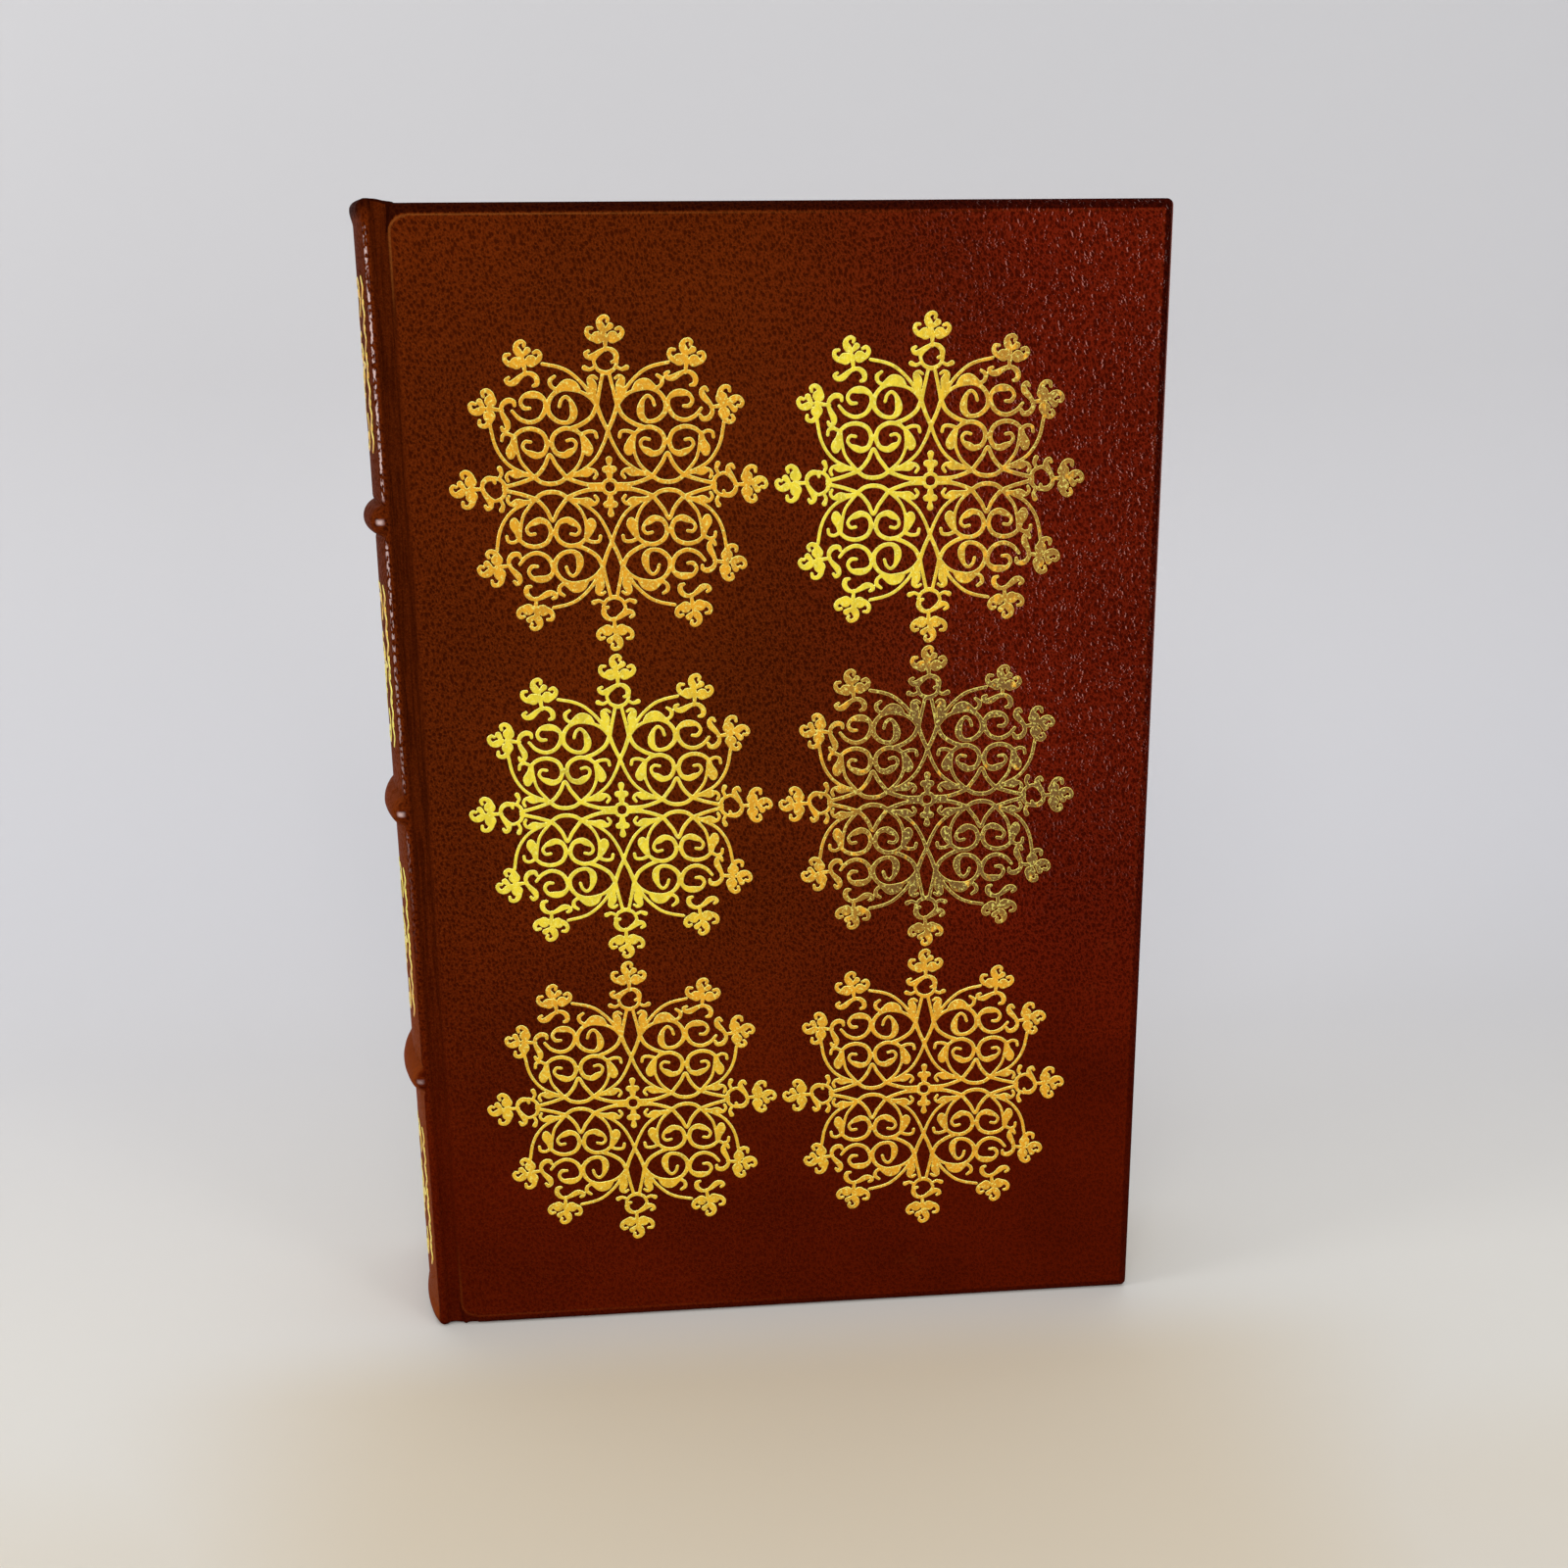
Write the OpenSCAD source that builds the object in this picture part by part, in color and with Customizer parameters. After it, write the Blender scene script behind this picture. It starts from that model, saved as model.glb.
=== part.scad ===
// Leather-bound book with rounded spine, raised bands, French grooves and gilt ornaments.
// Millimetres. +Z runs from tail to head, the front cover faces -Y, the spine is on the -X side.
// The origin is the middle of the foot of the closed book, which stands on its covers.

/* [Book] */
// Height of the covers from tail to head
cover_h = 240; // [210:1:270]
// Width from the shoulder line of the spine to the fore edge of the covers
cover_w = 157.5; // [150:0.1:185]
// Thickness of the closed book over both covers
book_t = 41; // [36:0.5:48]

/* [Covers] */
// Thickness of the cover boards
board_t = 3; // [2.4:0.1:3.4]
// Thickness of the leather on boards and spine
leather_t = 0.8; // [0.6:0.05:1]
// Thickness of the pared leather that is turned in over the board edges
turnin_t = 0.5; // [0.4:0.05:0.7]
// Width of the turned-in leather on the inner face
turnin_w = 8; // [5:0.5:14]
// Thickness of the endpaper that is pasted inside each cover
pastedown_t = 0.35; // [0.2:0.05:0.4]
// Gap round the pasted endpaper inside the turned-in leather
pastedown_fit = 0.2; // [0.1:0.05:0.5]
// Rounding of the outer leather edges
edge_r = 1.3; // [0.8:0.1:1.8]
// Rounding of the inner leather edges
inner_edge_r = 0.6; // [0.3:0.1:1]
// Rounding of the two fore corners
corner_r = 1.2; // [0.8:0.1:2.5]
// Rounding of the corners beside the spine, where the boards are back-cornered
back_corner_r = 3.5; // [2:0.1:4]

/* [Joint] */
// Radius of the groove between board and spine, centred on the hinge line
groove_r = 1.5; // [1.3:0.05:1.8]
// Rounding between the groove and the outer face of the cover
groove_edge_r = 0.9; // [0.5:0.05:1.2]
// Angle below the cover face at which the leather of the cover ends in the groove
split_a = 48; // [42:1:54]
// Angle between the leather of the cover and the leather of the spine in the groove
split_gap_a = 3; // [2:0.5:6]

/* [Spine] */
// Height of the round of the spine over its chord
spine_round = 4; // [3.4:0.1:5]
// Radius of the bead along each shoulder
shoulder_r = 1.2; // [1:0.05:1.4]
// Depth of the shoulder bead below the cover face
shoulder_drop = 0.2; // [0.1:0.05:0.4]
// Thickness of the spine inlay under the leather
inlay_t = 0.8; // [0.5:0.1:1]
// Thickness of the cloth and paper lining on the back of the leaves
lining_t = 0.5; // [0.3:0.05:0.7]
// Hollow between the lining and the spine inlay
hollow = 0.7; // [0.6:0.05:1]
// Radius of the rolled leather caps at head and tail of the spine
cap_r = 1.5; // [1.2:0.05:1.6]
// How far the rolled caps stand out from the spine
cap_proud = 0.5; // [0.1:0.05:0.7]
// How far the head cap stands above the covers
head_rise = 0.8; // [0:0.05:1]
// How far the leather of the joints stays below the head edge of the covers
joint_drop = 0.45; // [0.2:0.05:1]
// Height of the tail cap above the foot of the covers
tail_lift = 0.3; // [0.1:0.05:1]

/* [Raised bands] */
// Distance from one raised band to the next, the middle band lies at half height
band_pitch = 60; // [54:0.5:64]
// Radius of the crown of a band
band_r = 3.3; // [3:0.1:3.8]
// How far a band stands out from the spine
band_rise = 2.1; // [1.6:0.1:2.4]
// Arc over which each end of a band runs out into the shoulder
band_taper_a = 4.1; // [2.5:0.1:6]

/* [Leaves] */
// How far the covers stand past the leaves at head, tail and fore edge
margin = 3; // [2.5:0.1:4.5]
// Depth of the hollow of the fore edge
fore_hollow = 3; // [1.5:0.1:4]
// Thickness of a flyleaf
flyleaf_t = 0.25; // [0.15:0.05:0.4]
// Gap between a closed cover and the flyleaf
leaf_gap = 0.15; // [0.1:0.05:0.3]
// Radius of the sewn head and tail bands
endband_r = 1; // [0.8:0.05:1.1]
// Clearance between the edge of the leaves and the joint edge of a board
board_clear = 0.42; // [0.3:0.02:0.6]
// Clearance between the shoulders of the leaves and the leather over them
shoulder_clear = 0.1; // [0.05:0.05:0.2]

/* [Gilding] */
// Thickness of the gilding over the leather
foil_t = 0.12; // [0.08:0.01:0.2]
// Width of one cover ornament
medallion_w = 62.5; // [54:0.5:63]
// Distance from the shoulder line to the middle of the cover ornaments
gild_x = 77.2; // [74:0.1:80]
// How far the middle row of cover ornaments lies below half height
gild_drop = 0.7; // [0:0.1:3]
// Distance between the two columns of ornaments
col_pitch = 64.4; // [64:0.1:68]
// Distance between the rows of ornaments
row_pitch = 66.75; // [64:0.05:70]
// Height of one spine ornament
panel_orn_h = 34; // [24:0.5:40]
// Width of a gilt line on the spine
fillet_w = 0.6; // [0.4:0.05:1]
// Distance from a raised band to the gilt line beside it
fillet_gap = 1.4; // [0.8:0.1:3]

/* [Hidden] */
$fn = 96;
// Segments of the wide rounds, of rolls and crowns, and of small dots
FN_WIDE = 240;
FN_ROLL = 64;
FN_DOT = 32;
// Steps of an arc on a rounded edge, and of the arcs in the groove
EDGE_STEPS = 8;
GROOVE_STEPS = 22;
half_t = book_t / 2;
cover_t = leather_t + board_t + turnin_t;
// Round of the spine: bead centre and arc centre share one line through their point of contact
bead_w = half_t - shoulder_drop - shoulder_r;
chord_w = bead_w + shoulder_r / 2;
spine_R = (chord_w * chord_w + spine_round * spine_round) / (2 * spine_round);
arc_u = spine_R - spine_round;
half_a = asin(bead_w / (spine_R - shoulder_r));
bead_u = arc_u - (spine_R - shoulder_r) * cos(half_a);
// Hinge line: the groove touches the bead from outside and is centred in the plane of the cover face
hinge_drop = half_t - bead_w;
hinge_u = bead_u + sqrt(pow(shoulder_r + groove_r, 2) - hinge_drop * hinge_drop);
touch_a = asin(hinge_drop / (shoulder_r + groove_r));
// Covers
board_u = hinge_u + groove_r + leather_t;
inner_w = half_t - cover_t;
back_u = hinge_u + groove_r * cos(split_a) - 0.05;
back_cu = back_u + back_corner_r;
board_corner_r = back_corner_r - leather_t;
// Layers of the spine, from the leather inwards
inlay_R = spine_R - leather_t;
hollow_R = inlay_R - inlay_t;
lining_R = hollow_R - hollow;
leaves_R = lining_R - lining_t;
// Leaves
leaf_w = inner_w - leaf_gap - flyleaf_t;
leaf_u = board_u - board_clear;
// The raised shoulder of the leaves slopes up beside the board, as high as the groove lets it
slope_w = half_t - groove_r - leather_t / 2;
slope_u = leaf_u - (slope_w - leaf_w) * tan(30);
leaf_end = cover_w - margin;
fore_R = (leaf_w * leaf_w + fore_hollow * fore_hollow) / (2 * fore_hollow);
z_lo = tail_lift;
z_hi = cover_h + head_rise;
// The whole book is centred over the origin
body_x = -(cover_w - spine_round - band_rise) / 2;
// Angles that the layers of the spine end short of the shoulder beads
lining_in_a = 4.1;
inlay_in_a = 3.3;
endband_in_a = 4.5;
band_in_a = 0.45;
gilt_in_a = 2.2;
band_end_a = half_a - band_in_a;
// How far the outline that rounds off the bands stays off the skin of the spine
skin_gap = 0.06;
band_z = [for (i = [-1:1]) cover_h / 2 + i * band_pitch];
// Limits of the four spine panels, from the foot to the head
panel_z = [0, band_z[0], band_z[1], band_z[2], cover_h];
LEATHER = "#5c170c";
GILT = "#d6a31c";
PAPER = "#e6dabc";

// Points on an arc round c, from angle a0 to angle a1 in n steps
function arc(c, r, a0, a1, n) = [
    for (i = [0:n]) let (a = a0 + (a1 - a0) * i / n) [c[0] + r * cos(a), c[1] + r * sin(a)]
];

// Places what is drawn from the shoulder line at its place over the origin
module placed() {
    translate([body_x, 0, 0]) children();
}

// The back of the book is drawn, the front mirrors it
module front_side() {
    mirror([0, 1, 0]) children();
}

// Turns a section drawn as radius and height round the axis of the spine
module spine_turn(a) {
    placed() translate([arc_u, 0, 0])
        rotate_extrude(angle = 2 * a, start = 180 - a, $fn = FN_WIDE) children();
}

// A plain layer of the spine between two radii and two heights
module spine_layer(r0, r1, z0, z1, a) {
    spine_turn(a) translate([r0, z0]) square([r1 - r0, z1 - z0]);
}

// Leaves

// Outline of the leaves seen from the head: round back, raised shoulders, hollow fore edge
module leaf_plan() {
    difference() {
        union() {
            intersection() {
                translate([arc_u, 0]) circle(leaves_R, $fn = FN_WIDE);
                polygon([
                    [-arc_u, -slope_w], [slope_u, -slope_w], [leaf_u, -leaf_w], [arc_u, -leaf_w],
                    [arc_u, leaf_w], [leaf_u, leaf_w], [slope_u, slope_w], [-arc_u, slope_w]
                ]);
            }
            translate([arc_u - 1, -leaf_w]) square([leaf_end - arc_u + 1, 2 * leaf_w]);
        }
        for (s = [-1, 1]) {
            translate([bead_u, s * bead_w]) circle(shoulder_r + shoulder_clear);
            translate([hinge_u, s * half_t]) circle(groove_r + leather_t + shoulder_clear / 2);
        }
        translate([leaf_end - fore_hollow + fore_R, 0]) circle(fore_R, $fn = FN_WIDE);
    }
}

module text_block() {
    color(PAPER) placed() translate([0, 0, margin]) linear_extrude(cover_h - 2 * margin) leaf_plan();
}

module flyleaf() {
    placed() translate([leaf_u, leaf_w, margin])
        cube([leaf_end - leaf_u, flyleaf_t, cover_h - 2 * margin]);
}

module front_flyleaf() {
    color("#d9ccb0") front_side() flyleaf();
}

module back_flyleaf() {
    color("#d9ccb0") flyleaf();
}

module spine_lining() {
    color("#c9b98f") spine_layer(leaves_R, lining_R, margin, cover_h - margin, half_a - lining_in_a);
}

// Sewn band on the edge of the leaves, z0 is that edge and s the way it stands off
module endband(z0, s) {
    mid = leaves_R - endband_r - shoulder_clear;
    foot_w = 1.7 * endband_r;
    spine_turn(half_a - endband_in_a) {
        translate([mid, z0 + s * endband_r]) circle(endband_r, $fn = FN_ROLL);
        translate([mid - foot_w / 2, min(z0, z0 + s * endband_r)]) square([foot_w, endband_r]);
    }
}

module headband() {
    color("#a8352a") endband(cover_h - margin, 1);
}

module tailband() {
    color("#a8352a") endband(margin, -1);
}

// Spine

module spine_inlay() {
    color("#8d7b62")
        spine_layer(hollow_R, inlay_R, z_lo + 2 * cap_r, z_hi - 2 * cap_r, half_a - inlay_in_a);
}

// Core of one raised band, under the leather
module band_core(i) {
    spine_turn(band_end_a - band_taper_a) intersection() {
        translate([spine_R + band_rise - band_r, band_z[i - 1]]) circle(band_r - leather_t, $fn = FN_ROLL);
        translate([inlay_R, band_z[i - 1] - band_r]) square([2 * band_r, 2 * band_r]);
    }
}

module raised_band_1() { color("#9a8461") band_core(1); }
module raised_band_2() { color("#9a8461") band_core(2); }
module raised_band_3() { color("#9a8461") band_core(3); }

// Section of the spine leather: flat skin, band crowns, rolled caps and the leather turned in at both ends
module spine_section() {
    translate([inlay_R, z_lo + cap_r]) square([leather_t, z_hi - z_lo - 2 * cap_r]);
    for (z = [z_lo + cap_r, z_hi - cap_r])
        translate([spine_R + cap_proud - cap_r, z]) circle(cap_r, $fn = FN_ROLL);
    for (z = [z_lo + cap_r, z_hi - cap_r - turnin_w])
        translate([hollow_R - turnin_t, z]) square([turnin_t, turnin_w]);
    intersection() {
        for (z = band_z)
            translate([spine_R + band_rise - band_r, z]) circle(band_r, $fn = FN_ROLL);
        translate([inlay_R, 0]) square([2 * band_r, cover_h]);
    }
}

// Seen from the head, the bands round off where they run out into the shoulders
module spine_plan() {
    skin = spine_R + skin_gap;
    a1 = band_end_a - band_taper_a;
    past_a = 3;
    run = [
        for (i = [0:EDGE_STEPS]) let (t = i / EDGE_STEPS)
            [a1 + band_taper_a * t, skin + band_rise * sqrt(1 - t * t)]
    ];
    half = concat(
        [[0, skin + 2 * band_rise], [a1 - past_a, skin + 2 * band_rise]],
        run,
        [[half_a + past_a, skin + skin_gap / 2]]
    );
    upper = [for (p = half) [arc_u - p[1] * cos(p[0]), p[1] * sin(p[0])]];
    lower = [for (i = [len(upper) - 1:-1:0]) [upper[i][0], -upper[i][1]]];
    polygon(concat([[arc_u, 0]], lower, upper));
}

module spine_leather() {
    color(LEATHER) difference() {
        intersection() {
            spine_turn(half_a) spine_section();
            placed() translate([0, 0, -1]) linear_extrude(cover_h + 3) spine_plan();
        }
        for (i = [1:3]) band_core(i);
    }
}

// Leather over one shoulder and down into the groove, as far as the hinge lets the cover take over
module joint_leather() {
    b = [bead_u, bead_w];
    h = [hinge_u, half_t];
    g0 = 180 + touch_a;
    g1 = 360 - split_a - split_gap_a;
    z0 = z_lo + cap_r / 2;
    placed() translate([0, 0, z0]) linear_extrude(cover_h - joint_drop - z0) polygon(concat(
        arc(b, shoulder_r, 180 - half_a, touch_a, GROOVE_STEPS),
        arc(h, groove_r, g0, g1, GROOVE_STEPS),
        arc(h, groove_r + leather_t, g1, g0, GROOVE_STEPS),
        [b]
    ));
}

module front_joint_leather() {
    color(LEATHER) front_side() joint_leather();
}

module back_joint_leather() {
    color(LEATHER) joint_leather();
}

// Covers

// Outline of the cover face, with rounded fore corners and the corners cut back beside the spine
module face_outline(u1, z0, z1, r_fore, c_back, r_back, a_back) {
    polygon(concat(
        arc([c_back, z1 - r_back], r_back, a_back, 90, EDGE_STEPS),
        arc([u1 - r_fore, z1 - r_fore], r_fore, 90, 0, EDGE_STEPS),
        arc([u1 - r_fore, z0 + r_fore], r_fore, 0, -90, EDGE_STEPS),
        arc([c_back, z0 + r_back], r_back, -90, -a_back, EDGE_STEPS)
    ));
}

// Board, cut back at the two corners beside the spine
module board() {
    rb = board_corner_r;
    placed() translate([0, half_t - leather_t, 0]) rotate([90, 0, 0]) linear_extrude(board_t)
        face_outline(
            cover_w - leather_t, leather_t, cover_h - leather_t,
            max(0.2, corner_r - leather_t), back_cu, rb,
            180 - acos(min(1, (back_cu - board_u) / rb))
        );
}

// Section of a cover seen from the head: groove wall, rounded edges, inner face
module cover_plan() {
    fillet_u = hinge_u + sqrt(pow(groove_r + groove_edge_r, 2) - pow(groove_edge_r, 2));
    meet_a = asin(groove_edge_r / (groove_r + groove_edge_r));
    polygon(concat(
        arc([hinge_u, half_t], groove_r, -split_a, -meet_a, EDGE_STEPS),
        arc([fillet_u, half_t - groove_edge_r], groove_edge_r, 180 - meet_a, 90, EDGE_STEPS),
        arc([cover_w - edge_r, half_t - edge_r], edge_r, 90, 0, EDGE_STEPS),
        arc([cover_w - inner_edge_r, inner_w + inner_edge_r], inner_edge_r, 0, -90, EDGE_STEPS),
        [[board_u, inner_w], [board_u, half_t - (board_u - hinge_u) * tan(split_a)]]
    ));
}

// Section of a cover seen from the fore edge: rounded leather over head and tail edges
module cover_end() {
    polygon(concat(
        arc([half_t - edge_r, edge_r], edge_r, -90, 0, EDGE_STEPS),
        arc([half_t - edge_r, cover_h - edge_r], edge_r, 0, 90, EDGE_STEPS),
        arc([inner_w + inner_edge_r, cover_h - inner_edge_r], inner_edge_r, 90, 180, EDGE_STEPS),
        arc([inner_w + inner_edge_r, inner_edge_r], inner_edge_r, 180, 270, EDGE_STEPS)
    ));
}

// Leather over the board, turned in at head, tail and fore edge
module cover_leather() {
    difference() {
        intersection() {
            placed() linear_extrude(cover_h) cover_plan();
            placed() translate([back_u - 2, 0, 0]) rotate([90, 0, 90])
                linear_extrude(cover_w - back_u + 4) cover_end();
            placed() translate([0, half_t + 1, 0]) rotate([90, 0, 0]) linear_extrude(cover_t + 2)
                face_outline(cover_w, 0, cover_h, corner_r, back_cu, back_corner_r, 180);
        }
        board();
        placed() translate([back_u - 1, inner_w - 1, turnin_w])
            cube([cover_w - turnin_w - back_u + 1, turnin_t + 1, cover_h - 2 * turnin_w]);
    }
}

// Endpaper pasted on the board inside the turned-in leather
module pastedown() {
    placed() translate([board_u, inner_w + turnin_t - pastedown_t, turnin_w + pastedown_fit])
        cube([
            cover_w - turnin_w - pastedown_fit - board_u,
            pastedown_t,
            cover_h - 2 * (turnin_w + pastedown_fit)
        ]);
}

module front_board() { color("#a89676") front_side() board(); }
module back_board() { color("#a89676") board(); }
module front_leather() { color(LEATHER) front_side() cover_leather(); }
module back_leather() { color(LEATHER) cover_leather(); }
module front_pastedown() { color("#cdbf9f") front_side() pastedown(); }
module back_pastedown() { color("#cdbf9f") pastedown(); }

// Gilding

// Stroke of width w along an arc
module stroke(c, r, a0, a1, w) {
    n = max(1, ceil((a1 - a0) / 60));
    reach = (r + w) / cos((a1 - a0) / n / 2);
    translate(c) intersection() {
        difference() {
            circle(r + w / 2);
            circle(r - w / 2);
        }
        polygon(concat([[0, 0]], arc([0, 0], reach, a0, a1, n)));
    }
}

// Round dot
module dot(c, r) {
    translate(c) circle(r, $fn = FN_DOT);
}

// Scroll: a wide arc that turns into a tight one and ends in a bulb; s is the way it winds
module scroll(c, r, a0, sweep, w, s) {
    r2 = r * 0.5;
    a1 = a0 + s * sweep;
    c2 = c + (r - r2) * [cos(a1), sin(a1)];
    stroke(c, r, min(a0, a1), max(a0, a1), w);
    stroke(c2, r2, min(a1, a1 + s * 170), max(a1, a1 + s * 170), w * 0.9);
    dot(c + r * [cos(a1), sin(a1)], w * 0.62);
    dot(c2 + r2 * [cos(a1 + s * 170), sin(a1 + s * 170)], w * 0.85);
}

// Small flower on a stalk: a curled crown between two bent petals; a is the way it points
module floret(c, a) {
    translate(c) rotate(a - 90) {
        dot([0, 0], 1.2);
        stroke([-0.55, 1.9], 1.25, -50, 205, 1);
        dot([0.3, 2.95], 0.75);
        for (s = [-1, 1]) {
            dot([s * 1.75, -0.75], 1.05);
            dot([s * 2.85, 0], 0.85);
            dot([s * 1.9, -3.5], 0.85);
            translate([s < 0 ? -1.9 : 0, -3.2]) square([1.9, 0.8]);
        }
        dot([2.1, 1], 0.65);
        translate([-0.45, -3.6]) square([0.9, 3.6]);
    }
}

// One quarter of the filigree, in millimetres at a full width of 62.5
module filigree_quarter() {
    // Thin hoop that carries the quarter
    stroke([11.3, 13.2], 11.3, 0, 360, 0.7);
    // Pointed arch and its dip
    stroke([13.9, 2.2], 5.9, 117, 180, 1);
    stroke([8.5, 2.2], 5.9, 0, 63, 1);
    stroke([11.2, 6.9], 5.62, 235, 305, 0.8);
    // Strokes from the heart to the arch and on to the side flower
    stroke([1.9, 11.06], 10.75, -90, -55, 1);
    stroke([14.67, -8.99], 11.3, 57, 91.4, 1);
    stroke([19.4, 2.6], 2.6, -53, 30, 0.8);
    // Leaf strokes on both sides of the arch
    stroke([10.85, 8.55], 6.96, 190, 246, 0.9);
    stroke([11.55, 8.55], 6.96, -66, -10, 0.9);
    // Almond on the upright axis and the strokes that spring from it
    stroke([-5.31, 16.05], 7.61, -45.7, 45.7, 1);
    stroke([6.22, 13.12], 5.38, 69, 137, 1);
    stroke([9.87, 19.93], 8.77, 210, 260, 1);
    stroke([2.1, 23.1], 2.1, 180, 360, 0.9);
    // Four scrolls
    scroll([8.2, 8.7], 2.6, 95, 250, 1, 1);
    scroll([14, 8.7], 2.6, 85, 250, 1, -1);
    scroll([8.5, 15.3], 2.8, 100, 250, 1.1, -1);
    scroll([14.5, 15.8], 2.8, 30, 250, 1.1, 1);
    // Bulbs and leaves
    for (p = [[8, 2.3, 0.9], [14.4, 2.3, 0.9], [11.2, 7.5, 0.8], [4, 7.3, 1.2], [18.4, 7.4, 1.2],
              [21.7, 3.9, 0.9], [4.2, 23.1, 0.9], [7.3, 19.4, 0.95], [3.2, 18.6, 0.8], [19.3, 19.2, 0.7]])
        dot([p[0], p[1]], p[2]);
}

module filigree() {
    for (m = [0, 1], n = [0, 1])
        mirror([m, 0]) mirror([0, n]) filigree_quarter();
    // Eight side flowers, all of one hand
    for (sx = [-1, 1], sz = [-1, 1], p = [[16.2, 24.6, 84], [23.4, 15.7, 8]])
        floret([sx * p[0], sz * p[1]], sx > 0 ? sz * p[2] : 180 - sz * p[2]);
    // Heart
    stroke([0, 0], 1.35, 0, 360, 0.9);
    for (s = [-1, 1]) {
        dot([0, s * 3.2], 0.95);
        dot([0, s * 5.2], 0.85);
        translate([-0.45, s > 0 ? 21 : -27]) square([0.9, 6]);
        floret([0, s * 29.2], s * 90);
        translate([s > 0 ? 20.4 : -25.4, -0.45]) square([5, 0.9]);
        floret([s * 27.6, 0], s > 0 ? 0 : 180);
    }
}

// Ornaments are numbered from the top row down, the column beside the spine first
module medallion(i) {
    k = medallion_w / 62.5;
    col = (i - 1) % 2;
    row = floor((i - 1) / 2);
    mid_z = cover_h / 2 - gild_drop;
    placed()
        translate([gild_x + (col - 0.5) * col_pitch, half_t + foil_t, mid_z + (1 - row) * row_pitch])
            rotate([90, 0, 0]) linear_extrude(foil_t) scale(k) filigree();
}

module front_medallion_1() { color(GILT) front_side() medallion(1); }
module front_medallion_2() { color(GILT) front_side() medallion(2); }
module front_medallion_3() { color(GILT) front_side() medallion(3); }
module front_medallion_4() { color(GILT) front_side() medallion(4); }
module front_medallion_5() { color(GILT) front_side() medallion(5); }
module front_medallion_6() { color(GILT) front_side() medallion(6); }
module back_medallion_1() { color(GILT) medallion(1); }
module back_medallion_2() { color(GILT) medallion(2); }
module back_medallion_3() { color(GILT) medallion(3); }
module back_medallion_4() { color(GILT) medallion(4); }
module back_medallion_5() { color(GILT) medallion(5); }
module back_medallion_6() { color(GILT) medallion(6); }

// Ornament of one spine panel, upright, in millimetres at a height of 34
module panel_motif() {
    stroke([0, 0], 3.6, 0, 360, 0.9);
    dot([0, 0], 1.3);
    for (m = [0, 1], n = [0, 1])
        mirror([m, 0]) mirror([0, n]) {
            scroll([3.4, 8.2], 2.6, 200, 250, 0.9, -1);
            stroke([5.8, 2.4], 2.4, 120, 300, 0.8);
            dot([3.1, 12.6], 0.8);
        }
    for (s = [-1, 1]) {
        translate([-0.4, s > 0 ? 3.4 : -14.4]) square([0.8, 11]);
        dot([0, s * 14.6], 1.1);
        dot([0, s * 16.4], 0.6);
        dot([s * 6.6, 0], 0.9);
    }
}

// Gilding of panel i, counted from the foot: the motif inside a frame of one line
module spine_panel(i) {
    z = (panel_z[i - 1] + panel_z[i]) / 2;
    line_a = 2 * asin(fillet_w / 2 / spine_R);
    k = panel_orn_h / 34;
    lip = (panel_z[i] - panel_z[i - 1]) / 2 - band_r - fillet_gap;
    intersection() {
        spine_layer(spine_R, spine_R + foil_t, panel_z[i - 1], panel_z[i], half_a - gilt_in_a);
        union() {
            placed() translate([-spine_round - 2, 0, z]) rotate([90, 0, 90])
                linear_extrude(spine_round + 3) scale(k) panel_motif();
            for (s = [-1, 1])
                placed() translate([-arc_u, -half_t, z + s * lip - fillet_w / 2])
                    cube([2 * arc_u, book_t, fillet_w]);
        }
    }
    difference() {
        spine_layer(spine_R, spine_R + foil_t, z - lip, z + lip, half_a - gilt_in_a);
        spine_layer(spine_R - 1, spine_R + 1, z - lip - 1, z + lip + 1, half_a - gilt_in_a - line_a);
    }
}

module spine_ornament_1() { color(GILT) spine_panel(1); }
module spine_ornament_2() { color(GILT) spine_panel(2); }
module spine_ornament_3() { color(GILT) spine_panel(3); }
module spine_ornament_4() { color(GILT) spine_panel(4); }

text_block();
spine_lining();
headband();
tailband();
front_flyleaf();
back_flyleaf();
spine_inlay();
raised_band_1();
raised_band_2();
raised_band_3();
spine_leather();
spine_ornament_1();
spine_ornament_2();
spine_ornament_3();
spine_ornament_4();
front_joint_leather();
back_joint_leather();
front_board();
back_board();
front_leather();
back_leather();
front_pastedown();
back_pastedown();
front_medallion_1();
front_medallion_2();
front_medallion_3();
front_medallion_4();
front_medallion_5();
front_medallion_6();
back_medallion_1();
back_medallion_2();
back_medallion_3();
back_medallion_4();
back_medallion_5();
back_medallion_6();
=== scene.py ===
"""Dressed scene of the antique leather book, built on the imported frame."""

from __future__ import annotations

import logging
import math
from dataclasses import dataclass, field
from enum import Enum

import bmesh
import bpy
import numpy as np
from mathutils import Matrix, Vector, noise
from mathutils.geometry import delaunay_2d_cdt


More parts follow.
